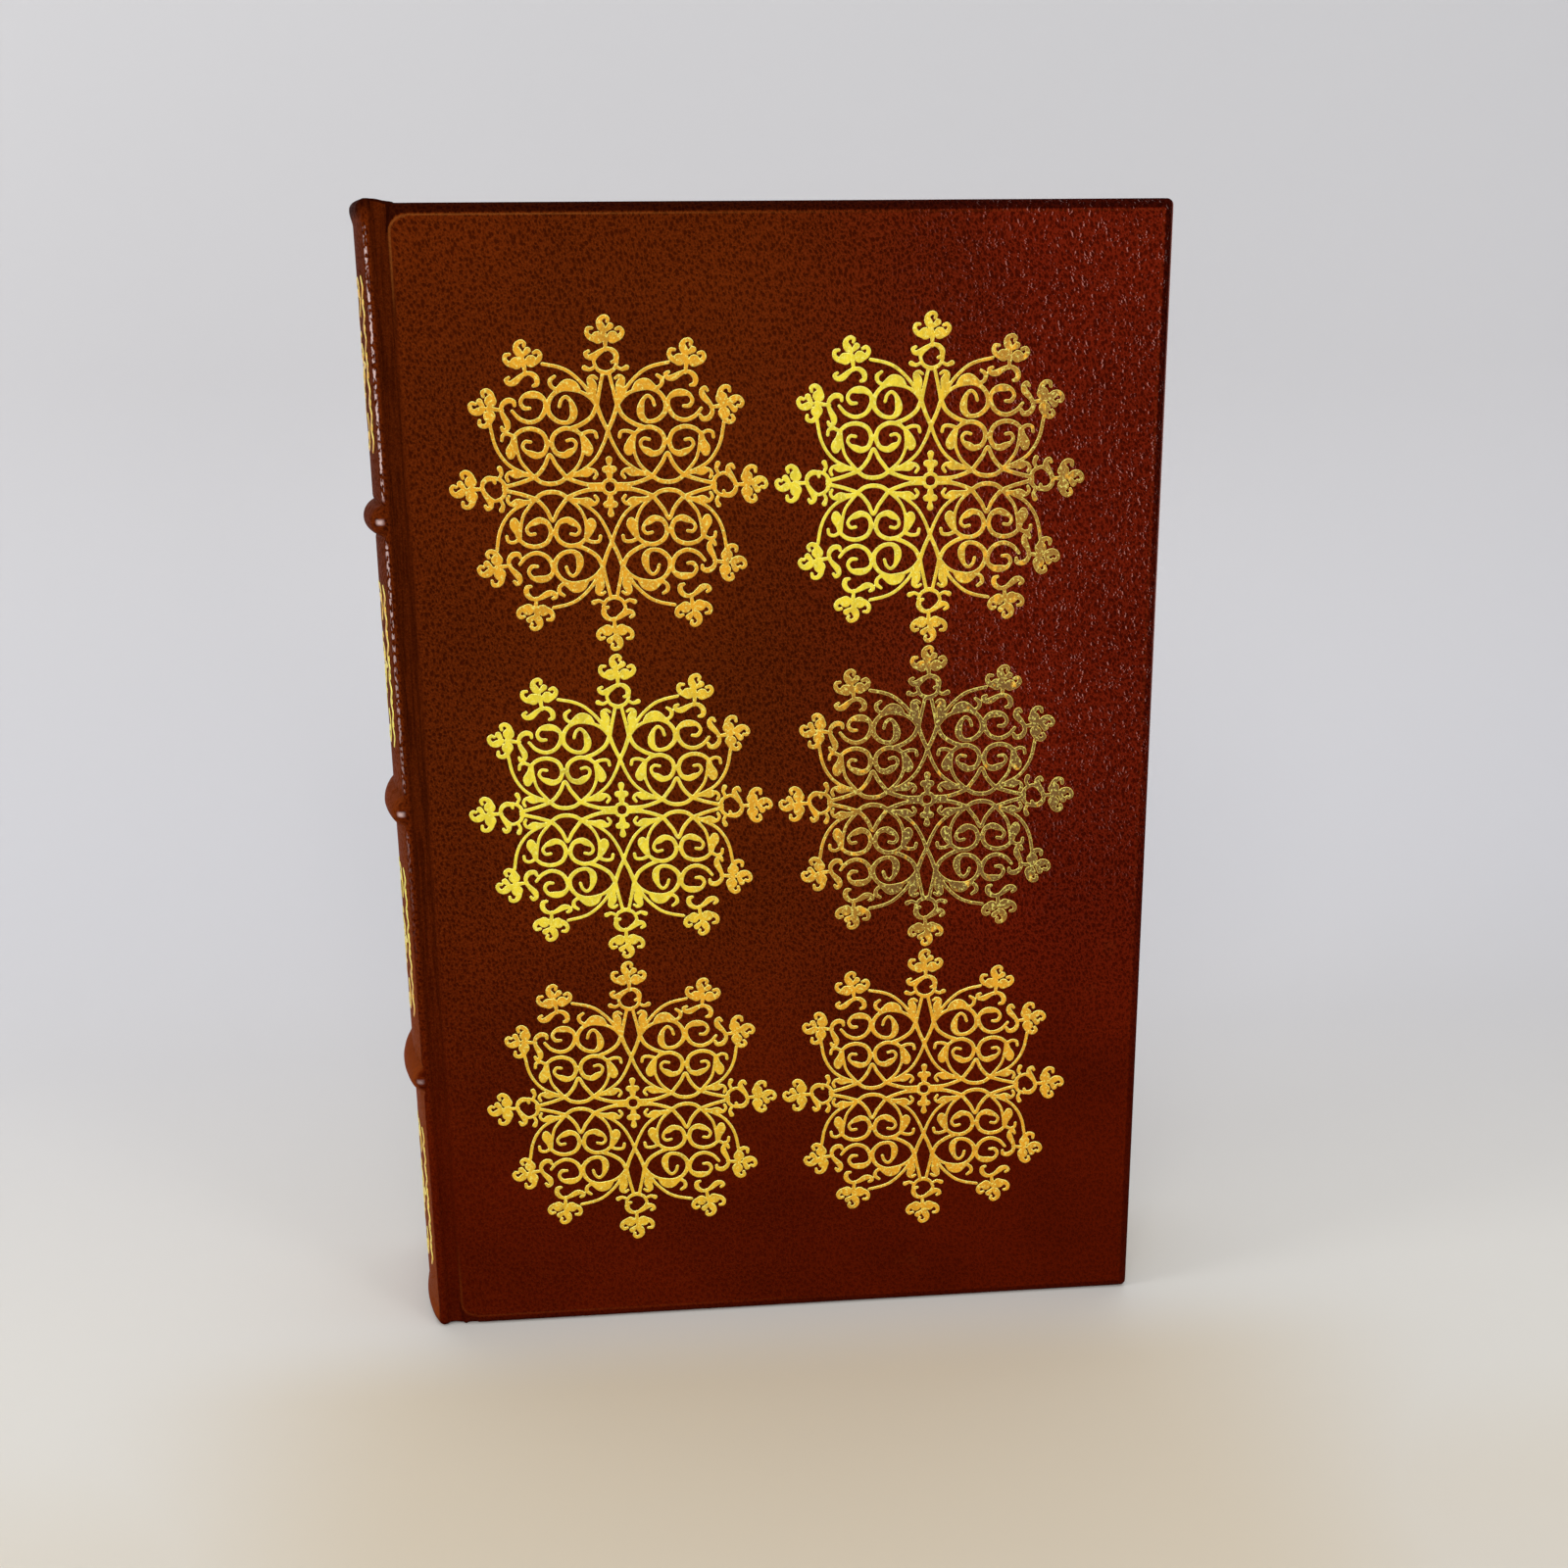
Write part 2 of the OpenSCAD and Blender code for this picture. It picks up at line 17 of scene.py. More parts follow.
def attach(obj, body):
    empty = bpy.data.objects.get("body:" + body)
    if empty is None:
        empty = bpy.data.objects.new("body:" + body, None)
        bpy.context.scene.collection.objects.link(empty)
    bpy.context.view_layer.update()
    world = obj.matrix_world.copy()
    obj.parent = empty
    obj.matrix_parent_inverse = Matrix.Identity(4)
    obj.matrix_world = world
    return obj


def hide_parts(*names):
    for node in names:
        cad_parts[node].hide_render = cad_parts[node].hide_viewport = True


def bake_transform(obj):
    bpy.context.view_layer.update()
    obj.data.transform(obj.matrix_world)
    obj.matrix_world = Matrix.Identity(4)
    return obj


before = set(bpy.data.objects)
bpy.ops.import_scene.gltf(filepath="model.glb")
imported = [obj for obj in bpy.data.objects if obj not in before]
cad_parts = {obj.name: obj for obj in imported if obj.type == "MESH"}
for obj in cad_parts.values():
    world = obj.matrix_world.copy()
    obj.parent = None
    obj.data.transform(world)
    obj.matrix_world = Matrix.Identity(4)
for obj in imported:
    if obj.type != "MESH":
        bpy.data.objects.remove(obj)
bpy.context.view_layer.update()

log = logging.getLogger("book")
MM = 0.001

# Distance in metres under which corners of stamped relief are merged
RELIEF_WELD = 1e-7
# Radians in a metre of something that repeats every millimetre
TURN_PER_M = 6283.0

Stroke = tuple[tuple[float, float, float], ...]
Colour = tuple[float, float, float, float]
Span = tuple[float, float, float, float]
Face = tuple[int, ...]
Relief = tuple[np.ndarray, list[Face], np.ndarray]
# Corners of a section, their places on the flat skin, and their edge values: rim line above 0, painted
# edge shade below 0
Ring = tuple[np.ndarray, np.ndarray, np.ndarray]


class Side(Enum):
    """The side of the book that a piece belongs to."""

    FRONT = -1
    BACK = 1

    @property
    def word(self) -> str:
        """The side's name in node and body names."""
        return self.name.lower()


def paint(code: str) -> Colour:
    """Turns a paint code into a linear colour.

    Args:
        code: Six hexadecimal digits, red, green and blue.

    Returns:
        The linear colour with full alpha.
    """
    parts = [int(code[i : i + 2], 16) / 255 for i in (0, 2, 4)]
    linear = [c / 12.92 if c <= 0.04045 else ((c + 0.055) / 1.055) ** 2.4 for c in parts]
    return (linear[0], linear[1], linear[2], 1.0)


def ease(t: np.ndarray | float) -> np.ndarray | float:
    """Eases a value from 0 to 1 without corners, and holds it outside.

    Args:
        t: One value or many.

    Returns:
        The eased value or values.
    """
    t = np.clip(t, 0.0, 1.0)
    return t * t * (3 - 2 * t)


@dataclass(frozen=True)
class BookSizes:
    """Sizes of the book in millimetres, the same as in the part's source."""

    cover_h: float = 240.0
    cover_w: float = 157.5
    half_t: float = 20.5
    board_t: float = 3.0
    leather_t: float = 0.8
    turnin_t: float = 0.5
    turnin_w: float = 8.0
    groove_r: float = 1.5
    spine_round: float = 4.0
    shoulder_r: float = 1.2
    shoulder_drop: float = 0.2
    spine_leaf_gap: float = 2.8
    leaf_clear: float = 0.4
    board_clear: float = 0.42
    head_rise: float = 0.8
    tail_lift: float = 0.3
    band_pitch: float = 60.0
    band_r: float = 3.3
    band_rise: float = 2.1
    margin: float = 3.0
    fore_hollow: float = 3.0
    gild_x: float = 77.2
    gild_drop: float = 0.7
    col_pitch: float = 64.4
    row_pitch: float = 66.75

    @property
    def bead_w(self) -> float:
        """Distance of a shoulder bead's centre from the middle of the book."""
        return self.half_t - self.shoulder_drop - self.shoulder_r

    @property
    def spine_big_r(self) -> float:
        """Radius of the spine seen from the head."""
        chord = self.bead_w + self.shoulder_r / 2
        return (chord**2 + self.spine_round**2) / (2 * self.spine_round)

    @property
    def arc_u(self) -> float:
        """Place of the spine's axis from the shoulder line."""
        return self.spine_big_r - self.spine_round

    @property
    def half_a(self) -> float:
        """Half the angle that the spine spans, in radians."""
        return math.asin(self.bead_w / (self.spine_big_r - self.shoulder_r))

    @property
    def bead_u(self) -> float:
        """Place of a shoulder bead's centre from the shoulder line."""
        return self.arc_u - (self.spine_big_r - self.shoulder_r) * math.cos(self.half_a)

    @property
    def hinge_u(self) -> float:
        """Place of the hinge line from the shoulder line."""
        reach = self.shoulder_r + self.groove_r
        return self.bead_u + math.sqrt(reach**2 - (self.half_t - self.bead_w) ** 2)

    @property
    def board_u(self) -> float:
        """Place of the board's edge beside the groove."""
        return self.hinge_u + self.groove_r + self.leather_t

    @property
    def cover_t(self) -> float:
        """Thickness of a cover, from its face to the leather turned in."""
        return self.leather_t + self.board_t + self.turnin_t

    @property
    def leaf_w(self) -> float:
        """Half the thickness of the leaves."""
        return self.half_t - self.cover_t - self.leaf_clear

    @property
    def leaf_u(self) -> float:
        """Place at which the leaves begin to spread towards their shoulders."""
        return self.board_u - self.board_clear

    @property
    def leaf_end(self) -> float:
        """Place of the leaves' fore edge."""
        return self.cover_w - self.margin

    @property
    def shift_u(self) -> float:
        """Place of the shoulder line over the origin."""
        return -(self.cover_w - self.spine_round - self.band_rise) / 2

    @property
    def band_z(self) -> tuple[float, float, float]:
        """Heights of the three raised bands."""
        mid = self.cover_h / 2
        return (mid - self.band_pitch, mid, mid + self.band_pitch)


BOOK = BookSizes()


def place(points: np.ndarray) -> np.ndarray:
    """Moves points from the book's own sizes to the scene.

    Args:
        points: Rows of distance from the shoulder line, side and height, in millimetres.

    Returns:
        The same points in metres over the origin.
    """
    out = np.array(points, float)
    out[:, 0] += BOOK.shift_u
    return out * MM


def make_object(
    name: str,
    points: np.ndarray,
    faces: list[Face],
    material: bpy.types.Material,
    values: dict[str, np.ndarray],
    weld: float,
    sharp: float | None = None,
) -> bpy.types.Object:
    """Makes an object with merged corners and faces that point outwards.

    Args:
        name: Name of the piece.
        points: Corners in metres.
        faces: Faces, as the numbers of their corners.
        material: Finish of the whole piece.
        values: Numbers or vectors at the corners, by name.
        weld: Distance in metres under which corners are merged.
        sharp: Angle in degrees above which an edge stays crisp, or None for flat faces.

    Returns:
        The new object at the origin.
    """
    mesh = bpy.data.meshes.new(name)
    mesh.from_pydata(points.tolist(), [], faces)
    for key, rows in values.items():
        kind, word = ("FLOAT_VECTOR", "vector") if rows.ndim == 2 else ("FLOAT", "value")
        mesh.attributes.new(key, kind, "POINT").data.foreach_set(word, rows.astype(np.float32).ravel())
    work = bmesh.new()
    work.from_mesh(mesh)
    bmesh.ops.remove_doubles(work, verts=work.verts, dist=weld)
    if sharp is not None:
        bmesh.ops.dissolve_degenerate(work, edges=work.edges, dist=1e-7)
    bmesh.ops.recalc_face_normals(work, faces=work.faces)
    work.to_mesh(mesh)
    work.free()
    if sharp is not None:
        mesh.polygons.foreach_set("use_smooth", [True] * len(mesh.polygons))
        mesh.set_sharp_from_angle(angle=math.radians(sharp))
    mesh.materials.append(material)
    return link(bpy.data.objects.new(name, mesh))


def link(obj: bpy.types.Object) -> bpy.types.Object:
    """Puts an object into the scene and returns it."""
    bpy.context.scene.collection.objects.link(obj)
    return obj


@dataclass
class MeshWork:
    """Collects corners and faces of one closed piece.

    Each corner also carries its place on the flat skin before it was bent, and an edge value: above 0
    on the lighter rim line along the edges, below 0 where the edges are darkened as painted shade.
    """

    name: str
    points: list[np.ndarray] = field(default_factory=list)
    lays: list[np.ndarray] = field(default_factory=list)
    edges: list[np.ndarray] = field(default_factory=list)
    faces: list[Face] = field(default_factory=list)
    count: int = 0

    def add(
        self, points: np.ndarray, lay: np.ndarray | None = None, edge: np.ndarray | None = None
    ) -> int:
        """Adds corners.

        Args:
            points: Rows of three millimetre values.
            lay: Rows of two millimetre values, the place on the flat skin.
            edge: One value for each corner, up to 1 on the lighter rim line and down to -1 where the
                edge is darkened as painted shade.

        Returns:
            The number of the first of them.
        """
        first = self.count
        rows = np.asarray(points, float).reshape(-1, 3)
        self.points.append(rows)
        blank = np.zeros((len(rows), 2))
        self.lays.append(blank if lay is None else np.asarray(lay, float).reshape(-1, 2))
        self.edges.append(np.zeros(len(rows)) if edge is None else np.asarray(edge, float).reshape(-1))
        self.count += len(rows)
        return first

    def grid(self, first: int, rows: int, cols: int, wrap: bool = False) -> None:
        """Joins a grid of corners with four-sided faces.

        Args:
            first: Number of the first corner.
            rows: Corners that follow each other row by row.
            cols: Corners in one row.
            wrap: True if each row closes on itself.
        """
        for r in range(rows - 1):
            for c in range(cols if wrap else cols - 1):
                d = (c + 1) % cols
                a = first + r * cols
                self.faces.append((a + c, a + d, a + cols + d, a + cols + c))

    def loft(self, rings: list[tuple[np.ndarray, ...]], wrap: bool = False) -> int:
        """Adds sections that follow each other and joins them.

        Args:
            rings: The sections: corners, and places on the flat skin and wear where they have them.
            wrap: True if each section closes on itself.

        Returns:
            The number of the first corner.
        """
        first = self.add(*(np.array(part) for part in zip(*rings)))
        self.grid(first, len(rings), len(rings[0][0]), wrap)
        return first

    def turn_to(self, side: Side) -> None:
        """Moves a piece that was drawn for the back cover to its own side."""
        for rows in self.points:
            rows[:, 1] *= side.value

    def finish(
        self, material: bpy.types.Material, sharp: float = 40.0, weld: float = 2e-6
    ) -> bpy.types.Object:
        """Makes the object.

        Args:
            material: Finish of the whole piece.
            sharp: Angle in degrees above which an edge stays crisp.
            weld: Distance in metres under which corners are merged.

        Returns:
            The new object at the origin.
        """
        flat = np.pad(np.vstack(self.lays) * MM, ((0, 0), (0, 1)))
        values = {"lay": flat, "edge": np.concatenate(self.edges)}
        points = place(np.vstack(self.points))
        return make_object(self.name, points, self.faces, material, values, weld, sharp)


@dataclass(frozen=True)
class Value:
    """An output of a node, which plain signs and a few verbs reckon with."""

    graph: Graph
    node: bpy.types.Node
    output: int | str = 0

    def __getitem__(self, output: str) -> Value:
        """Another output of the same node."""
        return Value(self.graph, self.node, output)

    def __add__(self, other: Feed) -> Value:
        """The sum of two values."""
        return self.graph.math("ADD", self, other)

    def __sub__(self, other: Feed) -> Value:
        """The difference of two values."""
        return self.graph.math("SUBTRACT", self, other)

    def __mul__(self, other: Feed) -> Value:
        """The product of two values."""
        return self.graph.math("MULTIPLY", self, other)

    def __truediv__(self, other: Feed) -> Value:
        """The quotient of two values."""
        return self.graph.math("DIVIDE", self, other)

    def __or__(self, other: Feed) -> Value:
        """The greater of two values."""
        return self.graph.math("MAXIMUM", self, other)

    def rest(self) -> Value:
        """What is missing to 1, kept between 0 and 1."""
        return self.graph.math("SUBTRACT", 1.0, self, True)

    def feed(self, feeds: Feeds) -> None:
        """Feeds the node's inputs.

        Args:
            feeds: Constants or other values, by the name or number of the input.
        """
        for key, value in feeds.items():
            if isinstance(value, Value):
                self.graph.tree.links.new(value.node.outputs[value.output], self.node.inputs[key])
            else:
                self.node.inputs[key].default_value = value

    def ramp(self, low: Feed, high: Feed, to_low: float = 0.0, to_high: float = 1.0) -> Value:
        """Eases the value from one range to another.

        Args:
            low: Where the old range starts.
            high: Where it ends.
            to_low: Result at the start.
            to_high: Result at the end.

        Returns:
            The eased value.
        """
        ends = {"Value": self, "From Min": low, "From Max": high, "To Min": to_low, "To Max": to_high}
        return self.graph.add("ShaderNodeMapRange", ends, interpolation_type="SMOOTHSTEP")

    def within(self, span: Span) -> Value:
        """Marks a span of the value.

        Args:
            span: Where the mark starts, where it is full, how far it stays full and where it ends.

        Returns:
            1 in the span and 0 outside it.
        """
        return self.ramp(span[0], span[1]) * self.ramp(span[3], span[2])

    def mix(self, first: Feed, second: Feed) -> Value:
        """Mixes two colours.

        Args:
            first: Colour where this value is 0.
            second: Colour where it is 1.

        Returns:
            The mixed colour.
        """
        feeds = {0: self, 6: first, 7: second}
        return Value(self.graph, self.graph.add("ShaderNodeMix", feeds, data_type="RGBA").node, 2)

    def scaled(self, factor: Feed) -> Value:
        """This vector or colour times a factor."""
        return self.graph.add("ShaderNodeVectorMath", {0: self, "Scale": factor}, operation="SCALE")

    def mapped(self, **changes: tuple[float, float, float]) -> Value:
        """These coordinates with another Scale or Location."""
        return self.graph.add("ShaderNodeMapping", {"Vector": self, **changes})

    def xyz(self) -> tuple[Value, Value, Value]:
        """The three coordinates of a vector."""
        parts = self.graph.add("ShaderNodeSeparateXYZ", {0: self})
        return parts["X"], parts["Y"], parts["Z"]

    def speckle(self, scale: Feed, detail: float = 3.0, rough: float = 0.5) -> Value:
        """Draws a soft irregular pattern at these coordinates.

        Args:
            scale: Patches per metre.
            detail: How many finer layers it has.
            rough: Share of the finer layers.

        Returns:
            The pattern.
        """
        feeds = {"Vector": self, "Scale": scale, "Detail": detail, "Roughness": rough}
        return self.graph.add("ShaderNodeTexNoise", feeds)

    def through(self, effect: bpy.types.NodeTree, **values: float) -> Value:
        """Sends these coordinates through a shared effect with its own values."""
        return self.graph.add("ShaderNodeGroup", {"Place": self, **values}, node_tree=effect)

    def relief(self, depth: float) -> Value:
        """The surface's direction when this pattern stands out by a depth in metres."""
        return self.graph.add("ShaderNodeBump", {"Strength": 1.0, "Distance": depth, "Height": self})


Feed = Value | float | int | tuple[float, ...] | bpy.types.Material
Feeds = dict[str | int, Feed]


@dataclass
class Graph:
    """Writes the nodes of one material, world or node group."""

    tree: bpy.types.NodeTree

    def add(self, kind: str, feeds: Feeds | None = None, **settings: object) -> Value:
        """Adds a node.

        Args:
            kind: Blender's name of the node type.
            feeds: What its inputs get.
            **settings: Properties of the node.

        Returns:
            Its first output.
        """
        made = Value(self, self.tree.nodes.new(kind))
        for key, value in settings.items():
            setattr(made.node, key, value)
        made.feed(feeds or {})
        return made

    def math(self, kind: str, a: Feed, b: Feed = 0.0, clamp: bool = False) -> Value:
        """Reckons with two values.

        Args:
            kind: Blender's name of the sum.
            a: First value.
            b: Second value.
            clamp: True to keep the result between 0 and 1.

        Returns:
            The result.
        """
        return self.add("ShaderNodeMath", {0: a, 1: b}, operation=kind, use_clamp=clamp)

    def attribute(self, name: str, output: str = "Fac") -> Value:
        """What the corners of the piece carry under a name."""
        return self.add("ShaderNodeAttribute", attribute_name=name)[output]


def new_tree(
    name: str,
    kind: str,
    inputs: dict[str, float | str],
    outputs: tuple[str, ...],
    result: str = "Float",
) -> tuple[Graph, Value, Value]:
    """Starts a node group with named inputs and outputs.

    Args:
        name: Name of the group.
        kind: Shader or Geometry.
        inputs: Type of each input, or its usual value if it is a plain number.
        outputs: Names of the outputs.
        result: Type of the outputs.

    Returns:
        The group's graph, its input node and its output node.
    """
    tree = bpy.data.node_groups.new(name, f"{kind}NodeTree")
    for key, what in inputs.items():
        plain = not isinstance(what, str)
        socket_type = "NodeSocketFloat" if plain else f"NodeSocket{what}"
        socket = tree.interface.new_socket(name=key, in_out="INPUT", socket_type=socket_type)
        if plain:
            socket.default_value = what
    for key in outputs:
        tree.interface.new_socket(name=key, in_out="OUTPUT", socket_type=f"NodeSocket{result}")
    graph = Graph(tree)
    return graph, graph.add("NodeGroupInput"), graph.add("NodeGroupOutput")


class Effects:
    """The shader node groups that several finishes share, each built once."""

    def __init__(self) -> None:
        """Builds all groups."""
        self.grain = self._grain()
        self.fibres = self._fibres()
        self.wear_and_edge_shade = self._wear()

    @staticmethod
    def _grain() -> bpy.types.NodeTree:
        """Leather grain on the flat skin: dark pits between ridges, fine wrinkles and clouds."""
        sizes = {"Place": "Vector", "Cell": 1.02, "Upright": 0.68, "Pit": 0.33, "Drift": 0.6}
        g, into, out = new_tree("Leather grain", "Shader", sizes, ("Pits", "Ridges", "Height", "Cloud"))
        where = into["Place"]
        wide = {"Vector": where, "Scale": 70.0, "Detail": 2.0}
        drift = g.add("ShaderNodeTexNoise", wide, noise_dimensions="2D")["Color"]
        pull = g.add("ShaderNodeVectorMath", {0: drift, 1: (0.5, 0.5, 0.5)}, operation="SUBTRACT")
        pull = pull.scaled(into["Drift"] * 0.006)
        u, v, _ = g.add("ShaderNodeVectorMath", {0: where, 1: pull}, operation="ADD").xyz()
        cell = g.add("ShaderNodeCombineXYZ", {"X": u + v * 0.2, "Y": v * into["Upright"]})
        per_metre = g.math("DIVIDE", 1000.0, into["Cell"])
        flat = {"feature": "F1", "voronoi_dimensions": "2D"}
        near = {"Vector": cell, "Scale": per_metre, "Randomness": 0.82}
        spots = g.add("ShaderNodeTexVoronoi", near, **flat)
        luck = g.add("ShaderNodeSeparateColor", {0: spots["Color"]})
        ragged = where.speckle(1500.0, 2.0, 0.6)
        reach = into["Pit"] * luck.ramp(0.0, 1.0, 0.7, 1.2)
        distance = spots["Distance"] + (ragged - 0.5) * 0.5
        small = g.add("ShaderNodeTexVoronoi", {"Vector": cell, "Scale": per_metre * 2.1}, **flat)
        pits = (distance / reach).rest().ramp(0.0, 0.6) | small["Distance"].ramp(0.1, 0.42, 0.55, 0.0)
        fine = where.speckle(2600.0, 3.0, 0.65)
        ridges = fine.ramp(0.42, 0.66) * pits.rest()
        height = fine * 0.3 - pits * 0.85
        cloud = where.speckle(24.0, 4.0, 0.55)
        out.feed({"Pits": pits, "Ridges": ridges, "Height": height, "Cloud": cloud})
        return g.tree

    @staticmethod
    def _fibres() -> bpy.types.NodeTree:
        """Paper fibres: fine flecks, soft clouds and a few brown age spots."""
        sizes = {"Place": "Vector", "Fleck": 900.0, "Spots": 0.5}
        g, into, out = new_tree("Paper fibres", "Shader", sizes, ("Flecks", "Cloud", "Spots"))
        where = into["Place"]
        flecks = where.mapped(Scale=(0.35, 1.0, 1.0)).speckle(into["Fleck"], 4.0)
        spots = g.add("ShaderNodeTexVoronoi", {"Vector": where, "Scale": 70.0}, feature="F1")
        spots = spots["Distance"].ramp(0.02, 0.16, 1.0, 0.0) * where.speckle(18.0).ramp(0.52, 0.66)
        out.feed({"Flecks": flecks, "Cloud": where.speckle(14.0), "Spots": spots * into["Spots"]})
        return g.tree

    @staticmethod
    def _wear() -> bpy.types.NodeTree:
        """Rubbing: patches that are worn more or less, and short fine scratches."""
        sizes = {"Place": "Vector", "Patch": 60.0, "Amount": 0.5}
        g, into, out = new_tree("Rubbing", "Shader", sizes, ("Patches", "Scratches"))
        where = into["Place"]
        low = g.math("SUBTRACT", 0.78, into["Amount"] * 0.4)
        patches = where.speckle(into["Patch"], 5.0, 0.62).ramp(low, low + 0.16)
        scratches = where.mapped(Scale=(0.12, 1.0, 1.4)).speckle(700.0, 2.0).ramp(0.66, 0.74)
        out.feed({"Patches": patches, "Scratches": scratches})
        return g.tree


@dataclass(frozen=True)
class Finish:
    """What every finish shares: a name and the steps that make its material."""

    name: str

    def dress(self, where: Value, effects: Effects) -> Feeds:
        """Draws the surface.

        Args:
            where: Coordinates on the piece.
            effects: The shared node groups.

        Returns:
            What the surface shader's inputs get.
        """
        raise NotImplementedError

    def top(self, shader: Value) -> Value:
        """What the material shows, here the surface shader as it is."""
        return shader

    def build(self, effects: Effects) -> bpy.types.Material:
        """Makes the material.

        Args:
            effects: The shared node groups.

        Returns:
            The finished material.
        """
        material = bpy.data.materials.new(self.name)
        material.use_nodes = True
        material.node_tree.nodes.clear()
        g = Graph(material.node_tree)
        shader = g.add("ShaderNodeBsdfPrincipled")
        shader.feed(self.dress(g.add("ShaderNodeTexCoord")["Object"], effects))
        g.add("ShaderNodeOutputMaterial", {"Surface": self.top(shader)})
        return material


@dataclass(frozen=True)
class LeatherFinish(Finish):
    """Glossy dyed goatskin with dark pits, smoother in the joints, its rounded edges darkened as
    painted shade.

    The spans are distances along the skin from the middle of the spine, in metres.
    """

    brown: Colour = paint("5a1f04")
    red: Colour = paint("5e1405")
    foot: Colour = paint("551202")
    pit: Colour = paint("220401")
    ridge: Colour = paint("78340e")
    painted_glint: Colour = paint("c98a80")
    lit_ridge: Colour = paint("9c3220")
    painted_grazing_sheen: Colour = paint("8c4018")
    shine: Colour = paint("d9b9b4")
    rim: Colour = paint("8a4c1e")
    edge: Colour = paint("1c0402")
    roughness: float = 0.36
    specular: float = 0.002
    tint: Colour = (1.0, 0.5, 0.35, 1.0)
    coat_roughness: float = 0.2
    depth: float = 0.00022
    cell_step: float = 0.0003
    band_half_pitch: float = 0.03
    round_end: tuple[float, float] = (0.0206, 0.0196)
    band_tip: Span = (0.0201, 0.0206, 0.0207, 0.0212)
    bead: Span = (0.0203, 0.0207, 0.021, 0.0213)
    bead_groove_shade: Span = (0.0215, 0.0221, 0.0223, 0.0229)
    joint: Span = (0.022, 0.0228, 0.026, 0.0272)
    board_groove_shade: Span = (0.025, 0.0254, 0.0257, 0.0262)

    def _shine(self, run: Value, z: Value, lay: Value) -> Value:
        """Marks the light on the beads of both shoulders, and the spot at each end of a band.

        Args:
            run: Distance along the skin.
            z: Height.
            lay: Place on the flat skin.

        Returns:
            The strength of the light.
        """
        band = z.graph.math("PINGPONG", z, self.band_half_pitch)
        bead = run.within(self.bead) * z.ramp(0.08, 0.2) * band.ramp(0.0035, 0.0055)
        streak = bead * lay.mapped(Scale=(1.0, 0.5, 1.0)).speckle(1700.0, 1.0).ramp(0.46, 0.56)
        spot = run.within(self.band_tip) * band.ramp(0.0008, 0.0001)
        return streak | (spot * (z.ramp(0.0, 0.16, 0.1, 1.0) * z.ramp(0.225, 0.215)))

    def _glints(self, x: Value, z: Value, lay: Value, pits: Value, effects: Effects) -> Value:
        """Marks the flanks of grain that catch the lamp, at the upper right of the cover.

        Args:
            x: Place across the cover.
            z: Height.
            lay: Place on the flat skin.
            pits: Depth of the grain.
            effects: The shared node groups.

        Returns:
            The strength of the glints.
        """
        beside = lay.mapped(Location=(self.cell_step, 0.0, 0.0)).through(effects.grain)
        flank = beside["Pits"].ramp(0.3, 0.6) * pits.ramp(0.2, 0.0)
        chance = lay.mapped(Scale=(1.0, 0.4, 1.0)).speckle(900.0, 1.0).ramp(0.53, 0.62)
        return flank * chance * (x.ramp(0.022, 0.064) * z.ramp(0.085, 0.15))

    def dress(self, where: Value, effects: Effects) -> Feeds:
        """Draws the surface.

        Args:
            where: Coordinates on the piece.
            effects: The shared node groups.

        Returns:
            What the surface shader's inputs get.
        """
        lay = where.graph.attribute("lay", "Vector")
        edge = where.graph.attribute("edge")
        grain = lay.through(effects.grain)
        rub = where.through(effects.wear_and_edge_shade, Patch=45.0, Amount=0.35)
        x, _, z = where.xyz()
        run = lay.xyz()[0]
        # Browner to the left, redder to the right, and darker towards the foot as painted shade.
        tone = x.ramp(-0.01, 0.06).mix(self.brown, self.red)
        tone = z.ramp(0.14, 0.02).mix(tone, self.foot).scaled(grain["Cloud"].ramp(0.3, 0.7, 0.82, 1.15))
        crisp = z.ramp(0.03, 0.1, 0.4, 1.0)
        ridges = grain["Ridges"] * x.ramp(0.06, -0.02, 0.12, 0.5)
        tone = (ridges * crisp).mix(tone, self.ridge)
        tone = (rub["Patches"] * 0.1).mix(tone, self.rim)
        joint = run.within(self.joint)
        # Painted shade: dark lines in the groove beside the bead and beside the board, stronger towards
        # the head.
        groove_shade = run.within(self.bead_groove_shade) | run.within(self.board_groove_shade)
        groove_shade = groove_shade * z.ramp(0.03, 0.12, 0.25, 0.8)
        pits = grain["Pits"] * (joint * 0.75).rest() * crisp
        streaks = lay.mapped(Scale=(1.0, 0.04, 1.0)).speckle(1500.0, 3.0, 0.6)
        lines = joint * (streaks.ramp(0.42, 0.6) * z.ramp(0.03, 0.12, 0.3, 1.0))
        # Painted shade: the joint darkened towards the head, mixed with the pits and streaks of the
        # grain.
        low = pits | lines | groove_shade | (joint * z.ramp(0.05, 0.2, 0.1, 0.5))
        tone = (low * 0.6).mix(tone, self.pit)
        # Painted light: grain ridges at the upper right turned a lit red where they stand highest.
        painted_ridge_light = x.ramp(-0.02, 0.05) * z.ramp(0.05, 0.12) * pits.ramp(0.5, 0.0)
        painted_ridge_light = painted_ridge_light * grain["Height"].ramp(0.05, 0.2)
        tone = (painted_ridge_light * 0.14).mix(tone, self.lit_ridge)
        glints = self._glints(x, z, lay, pits, effects)
        # Painted highlight: pale specks on the flanks of the grain at the upper right, in the base
        # colour as well as the coat.
        tone = (glints * 0.62).mix(tone, self.painted_glint)
        # Painted sheen: the round of the spine paler brown, more towards the foot.
        tone = (run.ramp(*self.round_end) * z.ramp(0.2, 0.03, 0.1, 0.75)).mix(tone, self.painted_grazing_sheen)
        shine = self._shine(run, z, lay)
